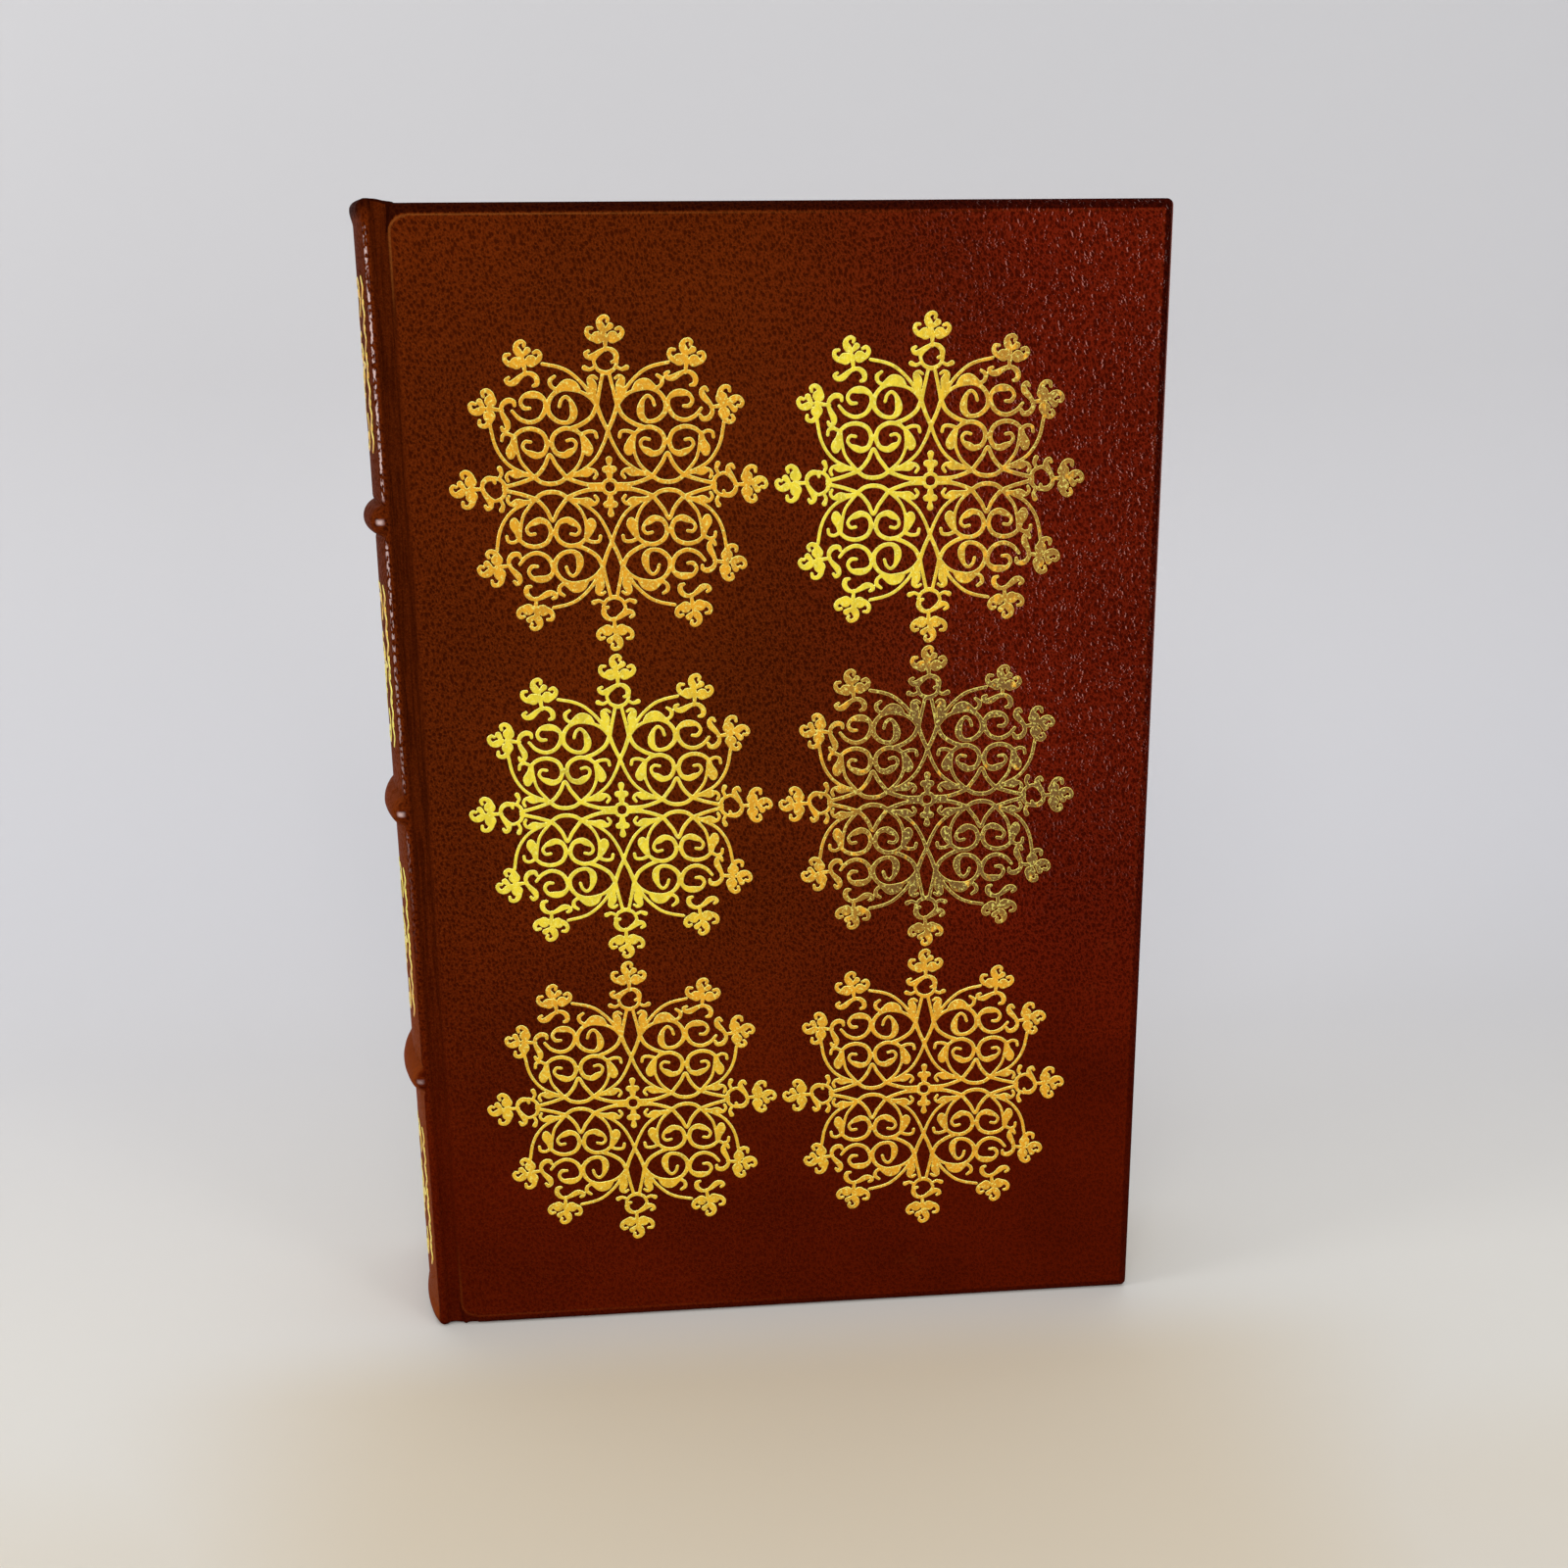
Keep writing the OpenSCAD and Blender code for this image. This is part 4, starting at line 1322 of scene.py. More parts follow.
@dataclass
class SpineSkin:
    """Leather over the round of the spine, its bands and its rolled caps, as far as both joints."""

    cap_r: float = 1.5
    cap_proud: float = 0.55
    rim_r: float = 0.5
    pinch: float = 0.25
    end_a: float = 45.0
    cap_turn: float = 250.0
    cap_rise: float = 3.2
    uneven: float = 0.06
    band_reach: float = 5.6
    closest: float = 0.2

    def stations(self) -> np.ndarray:
        """Stations from the front joint round to the back joint.

        Returns:
            Rows of place, side, outward direction and distance from the middle along the skin.
        """
        b = BOOK
        arc = wrap_arc((b.arc_u, 0.0), b.spine_big_r, math.pi, math.pi - b.half_a, 40)
        ends = (math.pi - b.half_a, math.radians(self.end_a))
        bead = wrap_arc((b.bead_u, b.bead_w), b.shoulder_r, *ends, 18)
        half = np.vstack([arc, bead[1:]])
        half = np.hstack([half, running(half[:, :2])[:, None]])
        other = half[:0:-1] * np.array([1, -1, 1, -1, -1])
        return np.vstack([other, half])

    def _rows(self) -> np.ndarray:
        """Heights of the rows on the outside, close together at bands and caps."""
        b = BOOK
        z = [np.arange(2.0, 7.0, 0.4), b.cover_h - np.arange(1.2, 7.0, 0.4)]
        for mid in b.band_z:
            z.append(mid + np.linspace(-self.band_reach, self.band_reach, 41))
        z.append(np.arange(9.0, b.cover_h - 7, 5.0))
        heights = np.unique(np.round(np.concatenate(z), 3))
        keep = [heights[0]]
        for h in heights[1:]:
            if h - keep[-1] > self.closest:
                keep.append(h)
        return np.array(keep)

    def bump(self, z: np.ndarray, run: float) -> np.ndarray:
        """How far the skin stands out over the bands at one station, each end like half a ball.

        Args:
            z: Heights.
            run: Distance of the station from the middle of the spine.

        Returns:
            Height of the skin over the round of the spine.
        """
        b = BOOK
        foot = math.sqrt(b.band_r**2 - (b.band_r - b.band_rise) ** 2)
        past = max(0.0, abs(run) - (b.spine_big_r * b.half_a + 1.35 - foot))
        out = np.zeros_like(z)
        for mid in b.band_z:
            x = np.hypot(z - mid, past)
            crown = np.sqrt(np.maximum(b.band_r**2 - x**2, 0)) - (b.band_r - b.band_rise)
            lip = self.pinch * np.exp(-(((x - foot - 0.35) / 0.55) ** 2))
            out += np.where(x < foot, np.maximum(crown, 0), 0) - lip
        return out

    def _ring(self, station: np.ndarray, rows: np.ndarray) -> Ring:
        """Draws the closed section of the skin at one station.

        Args:
            station: Place, side, outward direction and distance from the middle along the skin.
            rows: Heights on the outside.

        Returns:
            The section.
        """
        b, rise = BOOK, self.cap_rise
        u, w, out_u, out_w, run = station
        top, low = b.cover_h + b.head_rise, b.tail_lift
        share = float(ease((b.spine_big_r * b.half_a + 0.9 - abs(run)) / 2.4))
        cap = self.rim_r + (self.cap_r - self.rim_r) * share
        proud = self.cap_proud * share
        d = self.bump(rows, run)
        at_head = proud * ease((rows - (top - cap - rise)) / rise)
        at_tail = proud * ease((low + cap + rise - rows) / rise)
        d += at_head + at_tail
        d += np.array([self.uneven * noise.noise(Vector((run * 0.25, h * 0.09, 3.0))) for h in rows])
        z = np.clip(rows, low + cap + 0.01, top - cap - 0.01)
        roll = np.linspace(0, math.radians(self.cap_turn), 16)
        knob = np.stack([proud - cap + cap * np.cos(roll), top - cap + cap * np.sin(roll)], 1)
        inner = np.array([[-b.leather_t, top - 2.4 * cap], [-b.leather_t, low + 2.4 * cap]])
        foot = knob[::-1] * [1, -1] + [0, top + low]
        loop = np.vstack([np.stack([d, z], 1), knob, inner, foot])
        ring = np.stack([u + out_u * loop[:, 0], w + out_w * loop[:, 0], loop[:, 1]], 1)
        high = np.concatenate([z, top - cap + roll * cap, [0, 0], low + cap - (roll * cap)[::-1]])
        # Painted shade: dark edge values below the head cap and round both rolled caps.
        crest = -0.7 * ease((z - top + cap + 3.5) / 3.5)
        curl = -0.7 - 0.3 * np.clip(roll / 1.6, 0, 1)
        wear_and_edge_shade = np.concatenate([crest, curl, [0, 0], curl[::-1]])
        return ring, np.stack([np.full(len(loop), abs(run)), high], 1), wear_and_edge_shade

    def build(self, material: bpy.types.Material) -> bpy.types.Object:
        """Builds the skin as one closed mesh.

        Args:
            material: The leather.

        Returns:
            The new object.
        """
        rows = self._rows()
        rings = [self._ring(station, rows) for station in self.stations()]
        work = MeshWork("spine_skin")
        first = work.loft(rings, wrap=True)
        count = len(rings[0][0])
        last = first + (len(rings) - 1) * count
        work.faces.append(tuple(range(first + count - 1, first - 1, -1)))
        work.faces.append(tuple(range(last, last + count)))
        return work.finish(material)


def spline(points: Stroke, step: float = 0.25) -> np.ndarray:
    """Draws a smooth line through points.

    Args:
        points: Place, height and half width of each point.
        step: Distance between the points of the line.

    Returns:
        Rows of place, height and half width along the line.
    """
    p = np.array(points, float)
    if len(p) == 2:
        n = max(2, int(np.hypot(*(p[1] - p[0])[:2]) / step) + 1)
        return p[0] + (p[1] - p[0]) * np.linspace(0, 1, n)[:, None]
    ends = np.vstack([2 * p[0] - p[1], p, 2 * p[-1] - p[-2]])
    out = []
    for i in range(1, len(ends) - 2):
        a, b, c, d = ends[i - 1 : i + 3]
        n = max(2, int(np.hypot(*(c - b)[:2]) / step) + 1)
        t = np.linspace(0, 1, n, endpoint=False)[:, None]
        square, cube = 2 * a - 5 * b + 4 * c - d, 3 * b - a - 3 * c + d
        out.append(0.5 * (2 * b + (c - a) * t + square * t**2 + cube * t**3))
    return np.vstack([*out, p[-1:]])


def turned(strokes: tuple[Stroke, ...], x: float, z: float, angle: float) -> list[Stroke]:
    """Moves strokes to a place and turns them the way they point.

    Args:
        strokes: The strokes, drawn upwards from their own middle.
        x: Place of the middle.
        z: Height of the middle.
        angle: Direction in degrees that up turns into.

    Returns:
        The moved strokes.
    """
    c, s = math.cos(math.radians(angle - 90)), math.sin(math.radians(angle - 90))
    return [
        tuple((x + c * px - s * pz, z + s * px + c * pz, r) for px, pz, r in line)
        for line in strokes
    ]


def quartered(strokes: tuple[Stroke, ...]) -> list[Stroke]:
    """Mirrors strokes into all four quarters."""
    signs = [(sx, sz) for sx in (1, -1) for sz in (1, -1)]
    return [tuple((sx * x, sz * z, r) for x, z, r in line) for sx, sz in signs for line in strokes]


@dataclass(frozen=True)
class Filigree:
    """The cover ornament: scrolls mirrored in four quarters and twelve small flowers.

    Flowers stand at a place and height and point at an angle, with or without a fork under them.
    """

    cell: float = 0.2
    half: float = 34.5
    forked: tuple[tuple[float, float, float], ...] = ((0.1, 29.4, 90.0), (27.9, 0.0, 0.0))
    plain: tuple[tuple[float, float, float], ...] = ((15.9, 24.9, 84.0), (23.4, 15.6, 8.0))
    quarter: tuple[Stroke, ...] = (
        ((2.0, 15.9, 0.5), (1.15, 13.4, 0.48), (0.0, 10.9, 0.48)),
        (
            (0.0, 10.9, 0.46), (1.0, 8.3, 0.36), (2.65, 5.5, 0.36),
            (5.0, 3.5, 0.36), (7.2, 2.45, 0.38), (8.5, 1.95, 0.45),
        ),
        ((2.0, 15.9, 0.5), (1.45, 18.35, 0.42), (0.65, 21.9, 0.42)),
        (
            (2.0, 16.1, 0.35), (2.4, 18.1, 0.5), (2.7, 19.7, 0.95),
            (3.2, 20.9, 0.6), (2.55, 21.45, 0.4), (1.8, 21.0, 0.32),
        ),
        (
            (2.0, 15.9, 0.5), (3.1, 17.9, 0.44), (4.8, 20.25, 0.42),
            (7.1, 22.3, 0.42), (9.3, 23.3, 0.42), (12.2, 23.9, 0.42),
        ),
        (
            (2.0, 15.9, 0.5), (3.2, 17.35, 0.45), (4.8, 18.4, 0.42), (6.5, 18.9, 0.45),
            (8.5, 19.05, 0.5), (10.4, 18.1, 0.5), (11.5, 16.25, 0.55), (11.3, 14.4, 0.55),
            (9.8, 12.95, 0.52), (7.9, 12.65, 0.5), (6.75, 13.6, 0.75), (6.55, 15.05, 0.8),
            (7.05, 16.75, 0.5), (8.0, 17.6, 0.42), (8.9, 16.95, 0.4), (9.3, 15.75, 0.38),
        ),
        (
            (5.3, 18.95, 0.4), (6.4, 19.75, 0.95), (7.7, 20.0, 1.05),
            (9.0, 19.4, 0.7), (9.7, 18.9, 0.45),
        ),
        ((9.4, 18.8, 0.45), (10.7, 19.6, 0.45), (10.9, 20.75, 0.5), (10.0, 21.5, 0.38)),
        ((2.0, 15.9, 0.5), (3.05, 13.8, 0.5), (5.1, 12.3, 0.5), (7.3, 11.45, 0.5)),
        (
            (5.3, 10.3, 0.45), (6.6, 11.25, 0.5), (8.6, 11.5, 0.52), (10.45, 10.5, 0.52),
            (11.1, 8.75, 0.52), (10.35, 6.9, 0.55), (8.8, 6.35, 0.7), (7.7, 6.85, 0.8),
            (6.6, 7.6, 0.45), (6.35, 8.65, 0.42), (7.05, 9.35, 0.42), (8.1, 9.15, 0.4),
        ),
        ((5.3, 10.3, 0.45), (4.45, 9.2, 0.6), (4.05, 7.55, 1.1), (4.0, 6.9, 0.9)),
        ((5.3, 10.3, 0.45), (3.85, 10.85, 0.45), (2.55, 10.7, 0.42), (2.25, 9.7, 0.42)),
        ((5.25, 10.2, 0.4), (5.0, 8.3, 0.33), (5.2, 6.2, 0.33), (6.3, 4.0, 0.35), (8.45, 2.0, 0.45)),
        (
            (18.45, 10.1, 0.45), (17.0, 11.2, 0.5), (14.95, 11.55, 0.52), (12.9, 10.7, 0.52),
            (12.05, 8.8, 0.52), (12.6, 7.0, 0.55), (13.9, 6.35, 0.7), (15.05, 6.65, 0.75),
            (16.3, 7.3, 0.45), (16.8, 8.2, 0.42), (16.25, 9.1, 0.42), (15.2, 9.0, 0.4),
        ),
        ((18.45, 10.1, 0.45), (18.75, 8.75, 0.6), (19.1, 7.3, 1.1), (19.2, 6.5, 0.85)),
        ((18.45, 10.1, 0.45), (19.6, 10.65, 0.42), (20.6, 10.35, 0.42), (20.8, 9.4, 0.4)),
        ((18.2, 9.9, 0.36), (17.95, 7.7, 0.33), (17.2, 5.1, 0.34), (14.9, 2.25, 0.42)),
        (
            (22.9, 12.2, 0.4), (22.3, 8.95, 0.38), (21.1, 6.3, 0.38),
            (19.0, 4.1, 0.38), (14.9, 2.15, 0.42),
        ),
        (
            (8.5, 1.95, 0.5), (9.35, 3.1, 0.48), (10.5, 4.6, 0.48), (11.6, 6.5, 0.42),
            (12.55, 4.6, 0.48), (13.65, 3.1, 0.48), (14.8, 2.1, 0.5),
        ),
        ((8.5, 1.95, 0.5), (9.85, 1.1, 0.5), (11.6, 0.78, 0.52), (13.4, 1.1, 0.5), (14.8, 2.1, 0.5)),
        ((1.45, 0.45, 0.5), (4.2, 0.5, 0.48), (6.6, 1.15, 0.48), (8.5, 1.95, 0.5)),
        ((14.8, 2.1, 0.48), (17.5, 1.15, 0.46), (20.9, 0.3, 0.46)),
        (
            (7.8, 2.25, 0.35), (5.8, 2.6, 0.6), (4.4, 2.85, 0.9),
            (3.15, 3.3, 0.45), (2.5, 2.5, 0.42), (3.0, 1.75, 0.35),
        ),
        (
            (15.5, 2.45, 0.35), (17.1, 2.75, 0.6), (18.4, 2.8, 0.9),
            (19.7, 3.1, 0.42), (20.3, 2.3, 0.42), (20.0, 1.5, 0.35),
        ),
        (
            (18.5, 15.0, 0.4), (17.2, 13.55, 0.48), (15.2, 12.8, 0.5), (13.2, 13.5, 0.5),
            (12.05, 15.25, 0.55), (12.1, 16.9, 0.5), (13.2, 17.9, 0.7), (14.65, 18.1, 0.8),
            (16.1, 17.8, 0.5), (16.8, 16.6, 0.45), (16.15, 15.55, 0.5), (15.05, 15.5, 0.38),
        ),
        ((1.4, 0.0, 0.45), (0.99, 0.99, 0.45), (0.0, 1.4, 0.45)),
        ((0.0, 1.5, 0.5), (0.0, 3.4, 0.95)),
        ((0.75, 3.45, 0.75), (0.8, 3.45, 0.75)),
        ((0.0, 4.2, 0.4), (0.0, 5.35, 0.75)),
    )
    flower: tuple[Stroke, ...] = (
        ((0.0, -2.3, 0.42), (0.0, -1.2, 0.5), (0.0, -0.2, 0.45)),
        ((-1.4, -0.7, 1.2), (-1.5, -0.6, 1.2)),
        ((1.45, -0.65, 1.2), (1.5, -0.55, 1.2)),
        (
            (-0.1, 0.5, 0.5), (-0.7, 1.35, 0.85), (-1.05, 2.2, 0.68), (-0.75, 2.95, 0.54),
            (0.1, 3.3, 0.48), (0.7, 2.85, 0.44), (0.5, 2.3, 0.34),
        ),
        ((0.4, 0.9, 0.5), (1.1, 1.5, 0.72)),
        ((1.9, -0.95, 0.7), (2.9, -0.5, 0.62), (3.4, 0.35, 0.52), (2.95, 1.1, 0.48), (2.2, 0.9, 0.4)),
        (
            (-1.9, -0.95, 0.7), (-2.9, -0.6, 0.62), (-3.5, 0.15, 0.52),
            (-3.3, 1.05, 0.48), (-2.5, 1.15, 0.4),
        ),
    )
    stem: tuple[Stroke, ...] = (
        ((0.0, -2.0, 0.42), (0.0, -3.0, 0.42)),
        (
            (0.0, -2.7, 0.4), (-1.2, -3.4, 0.6), (-2.4, -4.2, 0.72),
            (-3.5, -4.3, 0.52), (-3.9, -3.6, 0.48), (-3.3, -3.2, 0.38),
        ),
        (
            (0.0, -2.7, 0.4), (1.2, -3.0, 0.55), (2.0, -3.9, 0.62),
            (1.95, -5.0, 0.55), (1.2, -5.3, 0.4),
        ),
    )
    fork: tuple[Stroke, ...] = (
        (
            (-4.2, -6.35, 0.6), (-3.2, -6.7, 0.44), (-2.1, -6.25, 0.4),
            (-1.5, -6.85, 0.46), (-0.1, -7.35, 0.52), (1.3, -6.85, 0.46),
            (1.9, -6.25, 0.4), (3.0, -6.7, 0.44), (4.0, -6.35, 0.6),
        ),
        ((-2.0, -6.2, 0.38), (-2.35, -5.2, 0.4), (-2.0, -4.4, 0.45)),
        ((1.8, -6.2, 0.38), (2.15, -5.4, 0.4), (2.0, -4.8, 0.45)),
    )

    def strokes(self) -> list[Stroke]:
        """All strokes of the ornament, with the flowers set round it."""
        out = quartered(self.quarter)
        for x, z, a in self.forked:
            for sign, turn in ((1, 0), (-1, 180)):
                out += turned(self.flower + self.stem + self.fork, sign * x, sign * z, a + turn)
        for x, z, a in self.plain:
            for spot in ((x, z, a), (-x, -z, a + 180), (-x, z, 180 - a), (x, -z, -a)):
                out += turned(self.flower + self.stem, *spot)
        return out


@dataclass(frozen=True)
class SpineMotif:
    """The ornament of one spine panel: an upright scroll cross between two waving scrolls."""

    cell: float = 0.25
    half: float = 18.5
    quarter: tuple[Stroke, ...] = (
        ((3.4, 0.0, 0.42), (2.4, 2.4, 0.42), (0.0, 3.4, 0.42)),
        ((0.0, 3.4, 0.4), (0.0, 9.0, 0.42), (0.0, 14.5, 0.45)),
        ((0.0, 14.6, 0.9), (0.0, 16.6, 0.6)),
        (
            (0.3, 4.6, 0.4), (2.6, 5.4, 0.48), (5.0, 7.2, 0.5), (5.6, 9.8, 0.52), (4.0, 11.6, 0.6),
            (2.3, 11.2, 0.62), (1.7, 9.7, 0.45), (2.6, 8.6, 0.42), (3.6, 9.0, 0.4),
        ),
        ((4.3, 11.6, 0.45), (3.4, 13.4, 0.75), (1.9, 14.4, 0.42)),
        (
            (3.4, 0.6, 0.4), (5.4, 1.4, 0.45), (8.0, 3.4, 0.5), (10.6, 3.8, 0.5),
            (12.2, 2.2, 0.55), (11.3, 0.7, 0.6), (9.8, 1.0, 0.42), (9.9, 2.1, 0.38),
        ),
        ((7.2, 3.2, 0.4), (8.4, 5.2, 0.7), (10.2, 6.2, 0.45), (11.2, 5.6, 0.35)),
        ((12.8, 0.0, 0.9), (14.6, 0.0, 0.5)),
        (
            (9.4, 15.6, 0.5), (11.2, 16.4, 0.5), (12.8, 15.0, 0.45),
            (11.6, 13.4, 0.7), (9.8, 14.2, 0.45),
        ),
        ((12.8, 15.0, 0.4), (13.4, 12.0, 0.45), (12.4, 9.6, 0.55)),
        ((9.4, 15.6, 0.4), (7.0, 16.4, 0.45), (5.2, 15.4, 0.55)),
        (
            (17.0, 0.0, 0.6), (15.7, 2.4, 0.5), (17.2, 4.8, 0.6), (15.8, 7.2, 0.5),
            (17.2, 9.6, 0.6), (15.8, 12.0, 0.5), (17.1, 14.4, 0.6), (15.9, 16.6, 0.45),
        ),
        ((16.9, 1.6, 0.5), (16.9, 2.2, 0.4)),
        ((16.9, 6.8, 0.5), (16.9, 7.4, 0.4)),
        ((16.9, 11.6, 0.5), (16.9, 12.2, 0.4)),
    )

    def strokes(self) -> list[Stroke]:
        """All strokes of the ornament."""
        return quartered(self.quarter)


@dataclass
class Stamp:
    """Turns strokes into thin stamped relief with bevelled edges."""

    strokes: list[Stroke]
    half: float
    cell: float = 0.25
    bevel: float = 0.16
    height: float = 0.1
    sunk: float = 0.02
    slack: float = 0.022
    slim: float = 0.05
    least: float = 0.36

    def _field(self) -> tuple[np.ndarray, np.ndarray]:
        """How deep inside the strokes each point of a grid lies."""
        n = int(2 * self.half / self.cell) + 1
        ax = np.linspace(-self.half, self.half, n)
        deep = np.full((n, n), -3.0)
        for stroke in self.strokes:
            q = spline(stroke)
            for a, b in zip(q[:-1], q[1:]):
                m = max(a[2], b[2]) + 0.8
                i0, i1 = np.searchsorted(ax, [min(a[0], b[0]) - m, max(a[0], b[0]) + m])
                j0, j1 = np.searchsorted(ax, [min(a[1], b[1]) - m, max(a[1], b[1]) + m])
                x, z = np.meshgrid(ax[i0:i1], ax[j0:j1], indexing="ij")
                d = b[:2] - a[:2]
                t = np.clip(((x - a[0]) * d[0] + (z - a[1]) * d[1]) / max(float(d @ d), 1e-9), 0, 1)
                away = np.hypot(x - a[0] - t * d[0], z - a[1] - t * d[1])
                r0, r1 = (max(r - self.slim, min(r, self.least)) for r in (a[2], b[2]))
                here = r0 + t * (r1 - r0) - away
                deep[i0:i1, j0:j1] = np.maximum(deep[i0:i1, j0:j1], here)
        return ax, deep

    @staticmethod
    def _loops(ax: np.ndarray, deep: np.ndarray, level: float) -> list[np.ndarray]:
        """Traces the closed outlines at one depth.

        Args:
            ax: Coordinates of the grid's rows and columns.
            deep: Depth at each point of the grid.
            level: Depth of the outlines.

        Returns:
            One array of points for each outline.
        """
        f = deep - level
        f[np.abs(f) < 1e-6] = 1e-6
        inside = f > 0
        step = ax[1] - ax[0]
        spots: dict[tuple[int, int, int], tuple[float, float]] = {}
        links: dict[tuple[int, int, int], list[tuple[int, int, int]]] = {}
        mixed = inside[:-1, :-1].astype(int) + inside[1:, :-1] + inside[:-1, 1:] + inside[1:, 1:]
        for i, j in zip(*np.nonzero((mixed > 0) & (mixed < 4))):
            corners = [(i, j), (i + 1, j), (i + 1, j + 1), (i, j + 1)]
            keys = [(i, j, 0), (i + 1, j, 1), (i, j + 1, 0), (i, j, 1)]
            crossed = []
            for k in range(4):
                a, b = corners[k], corners[(k + 1) % 4]
                if inside[a] != inside[b]:
                    crossed.append((k, keys[k]))
                    if keys[k] not in spots:
                        t = f[a] / (f[a] - f[b])
                        spots[keys[k]] = (
                            ax[a[0]] + t * (b[0] - a[0]) * step,
                            ax[a[1]] + t * (b[1] - a[1]) * step,
                        )
            if len(crossed) == 2:
                pairs = [(0, 1)]
            elif inside[corners[0]] == (f[i, j] + f[i + 1, j] + f[i, j + 1] + f[i + 1, j + 1] > 0):
                pairs = [(0, 1), (2, 3)]
            else:
                pairs = [(3, 0), (1, 2)]
            for p, q in pairs:
                a, b = crossed[p][1], crossed[q][1]
                links.setdefault(a, []).append(b)
                links.setdefault(b, []).append(a)
        loops = []
        while links:
            start = next(iter(links))
            chain = [start]
            before, here = None, start
            while True:
                options = links.pop(here, [])
                ahead = next((o for o in options if o != before and o in links), None)
                if ahead is None:
                    break
                before, here = here, ahead
                chain.append(here)
            if len(chain) > 6:
                loops.append(np.array([spots[c] for c in chain]))
        return loops

    @staticmethod
    def _thin(loop: np.ndarray, slack: float) -> np.ndarray:
        """Leaves out the points of an outline that its shape doesn't need.

        Args:
            loop: Points of a closed outline.
            slack: How far the outline may move.

        Returns:
            The points that stay.
        """
        n = len(loop)
        keep = np.zeros(n + 1, bool)
        pts = np.vstack([loop, loop[:1]])
        far = int(np.argmax(np.hypot(*(loop - loop[0]).T)))
        keep[[0, far, n]] = True
        stack = [(0, far), (far, n)]
        while stack:
            a, b = stack.pop()
            if b - a < 2:
                continue
            d = pts[b] - pts[a]
            size = max(float(np.hypot(*d)), 1e-9)
            x, y = (pts[a + 1 : b] - pts[a]).T
            off = np.abs(d[0] * y - d[1] * x) / size
            k = int(np.argmax(off))
            if off[k] > slack or b - a > 12:
                m = a + 1 + (k if off[k] > slack else (b - a) // 2 - 1)
                keep[m] = True
                stack += [(a, m), (m, b)]
        return pts[:-1][keep[:-1]]

    def _fill(self, loops: list[list[np.ndarray]], ax: np.ndarray, deep: np.ndarray) -> Relief:
        """Fills outlines with triangles.

        Args:
            loops: Outlines, grouped by depth, the outermost first.
            ax: Coordinates of the grid's rows and columns.
            deep: Depth at each point of the grid.

        Returns:
            The corners, the triangles, and whether each corner lies on the outermost outlines.
        """
        points: list[tuple[float, float]] = []
        edges: list[tuple[int, int]] = []
        outer = 0
        for g, group in enumerate(loops):
            for loop in group:
                base = len(points)
                points += [tuple(p) for p in loop]
                edges += [(base + i, base + (i + 1) % len(loop)) for i in range(len(loop))]
            if g == 0:
                outer = len(points)
        found = delaunay_2d_cdt([Vector(p) for p in points], edges, [], 0, 1e-5)
        verts = np.array([v[:] for v in found[0]])
        faces = []
        step = ax[1] - ax[0]
        for face in found[2]:
            c = verts[list(face)].mean(0)
            i, j = (np.clip((c - ax[0]) / step, 0, len(ax) - 1.001)).astype(int)
            s, t = (c - ax[0]) / step - (i, j)
            here = (
                deep[i, j] * (1 - s) * (1 - t) + deep[i + 1, j] * s * (1 - t)
                + deep[i, j + 1] * (1 - s) * t + deep[i + 1, j + 1] * s * t
            )
            if here > 0:
                faces.append(tuple(face))
        origin = [min(o) if o else -1 for o in found[3]]
        is_outer = np.array([0 <= o < outer for o in origin])
        return verts, faces, is_outer

    def build(self) -> Relief:
        """Makes the relief, flat on its ground.

        Returns:
            Corners as place, height over the ground and height on the page; faces; and how near
            each corner is to a rim.
        """
        ax, deep = self._field()
        edge = [self._thin(loop, self.slack) for loop in self._loops(ax, deep.copy(), 0.0)]
        crown = [self._thin(loop, self.slack) for loop in self._loops(ax, deep.copy(), self.bevel)]
        top, top_faces, on_edge = self._fill([edge, crown], ax, deep)
        low, low_faces, _ = self._fill([edge], ax, deep)
        lift = np.where(on_edge, -self.sunk, self.height)
        upper = np.stack([top[:, 0], lift, top[:, 1]], 1)
        lower = np.stack([low[:, 0], np.full(len(low), -self.sunk), low[:, 1]], 1)
        faces = list(top_faces)
        faces += [tuple(i + len(upper) for i in face[::-1]) for face in low_faces]
        rim = np.concatenate([np.where(on_edge, 1.0, 0.35), np.ones(len(lower))])
        return np.vstack([upper, lower]), faces, rim


def repeat_tree(material: bpy.types.Material) -> bpy.types.NodeTree:
    """Builds the node tree that repeats a stamp over columns and rows of a cover.

    Args:
        material: The gold.

    Returns:
        The tree.
    """
    kinds = {"Stamp": "Geometry", "Columns": "Int", "Rows": "Int", "Centre": "Vector"}
    kinds |= {"Column pitch": "Float", "Row pitch": "Float"}
    g, into, out = new_tree("Repeat stamp", "Geometry", kinds, ("Gilding",), "Geometry")
    spans = {
        "Size X": (into["Columns"] - 1.0) * into["Column pitch"],
        "Size Y": (into["Rows"] - 1.0) * into["Row pitch"],
        "Vertices X": into["Columns"],
        "Vertices Y": into["Rows"],
    }
    upright = {"Geometry": g.add("GeometryNodeMeshGrid", spans), "Rotation": (math.pi / 2, 0.0, 0.0)}
    spots = g.add("GeometryNodeTransform", {**upright, "Translation": into["Centre"]})
    out.feed({0: finished(g, {"Points": spots, "Instance": into["Stamp"]}, material)})
    return g.tree


def finished(g: Graph, feeds: Feeds, material: bpy.types.Material) -> Value:
    """Ends a geometry tree: copies on points, made real, with their material.

    Args:
        g: The tree's graph.
        feeds: The points and what stands on them.
        material: Finish of the copies.

    Returns:
        The geometry.
    """
    real = g.add("GeometryNodeRealizeInstances", {0: g.add("GeometryNodeInstanceOnPoints", feeds)})
    return g.add("GeometryNodeSetMaterial", {"Geometry": real, "Material": material})


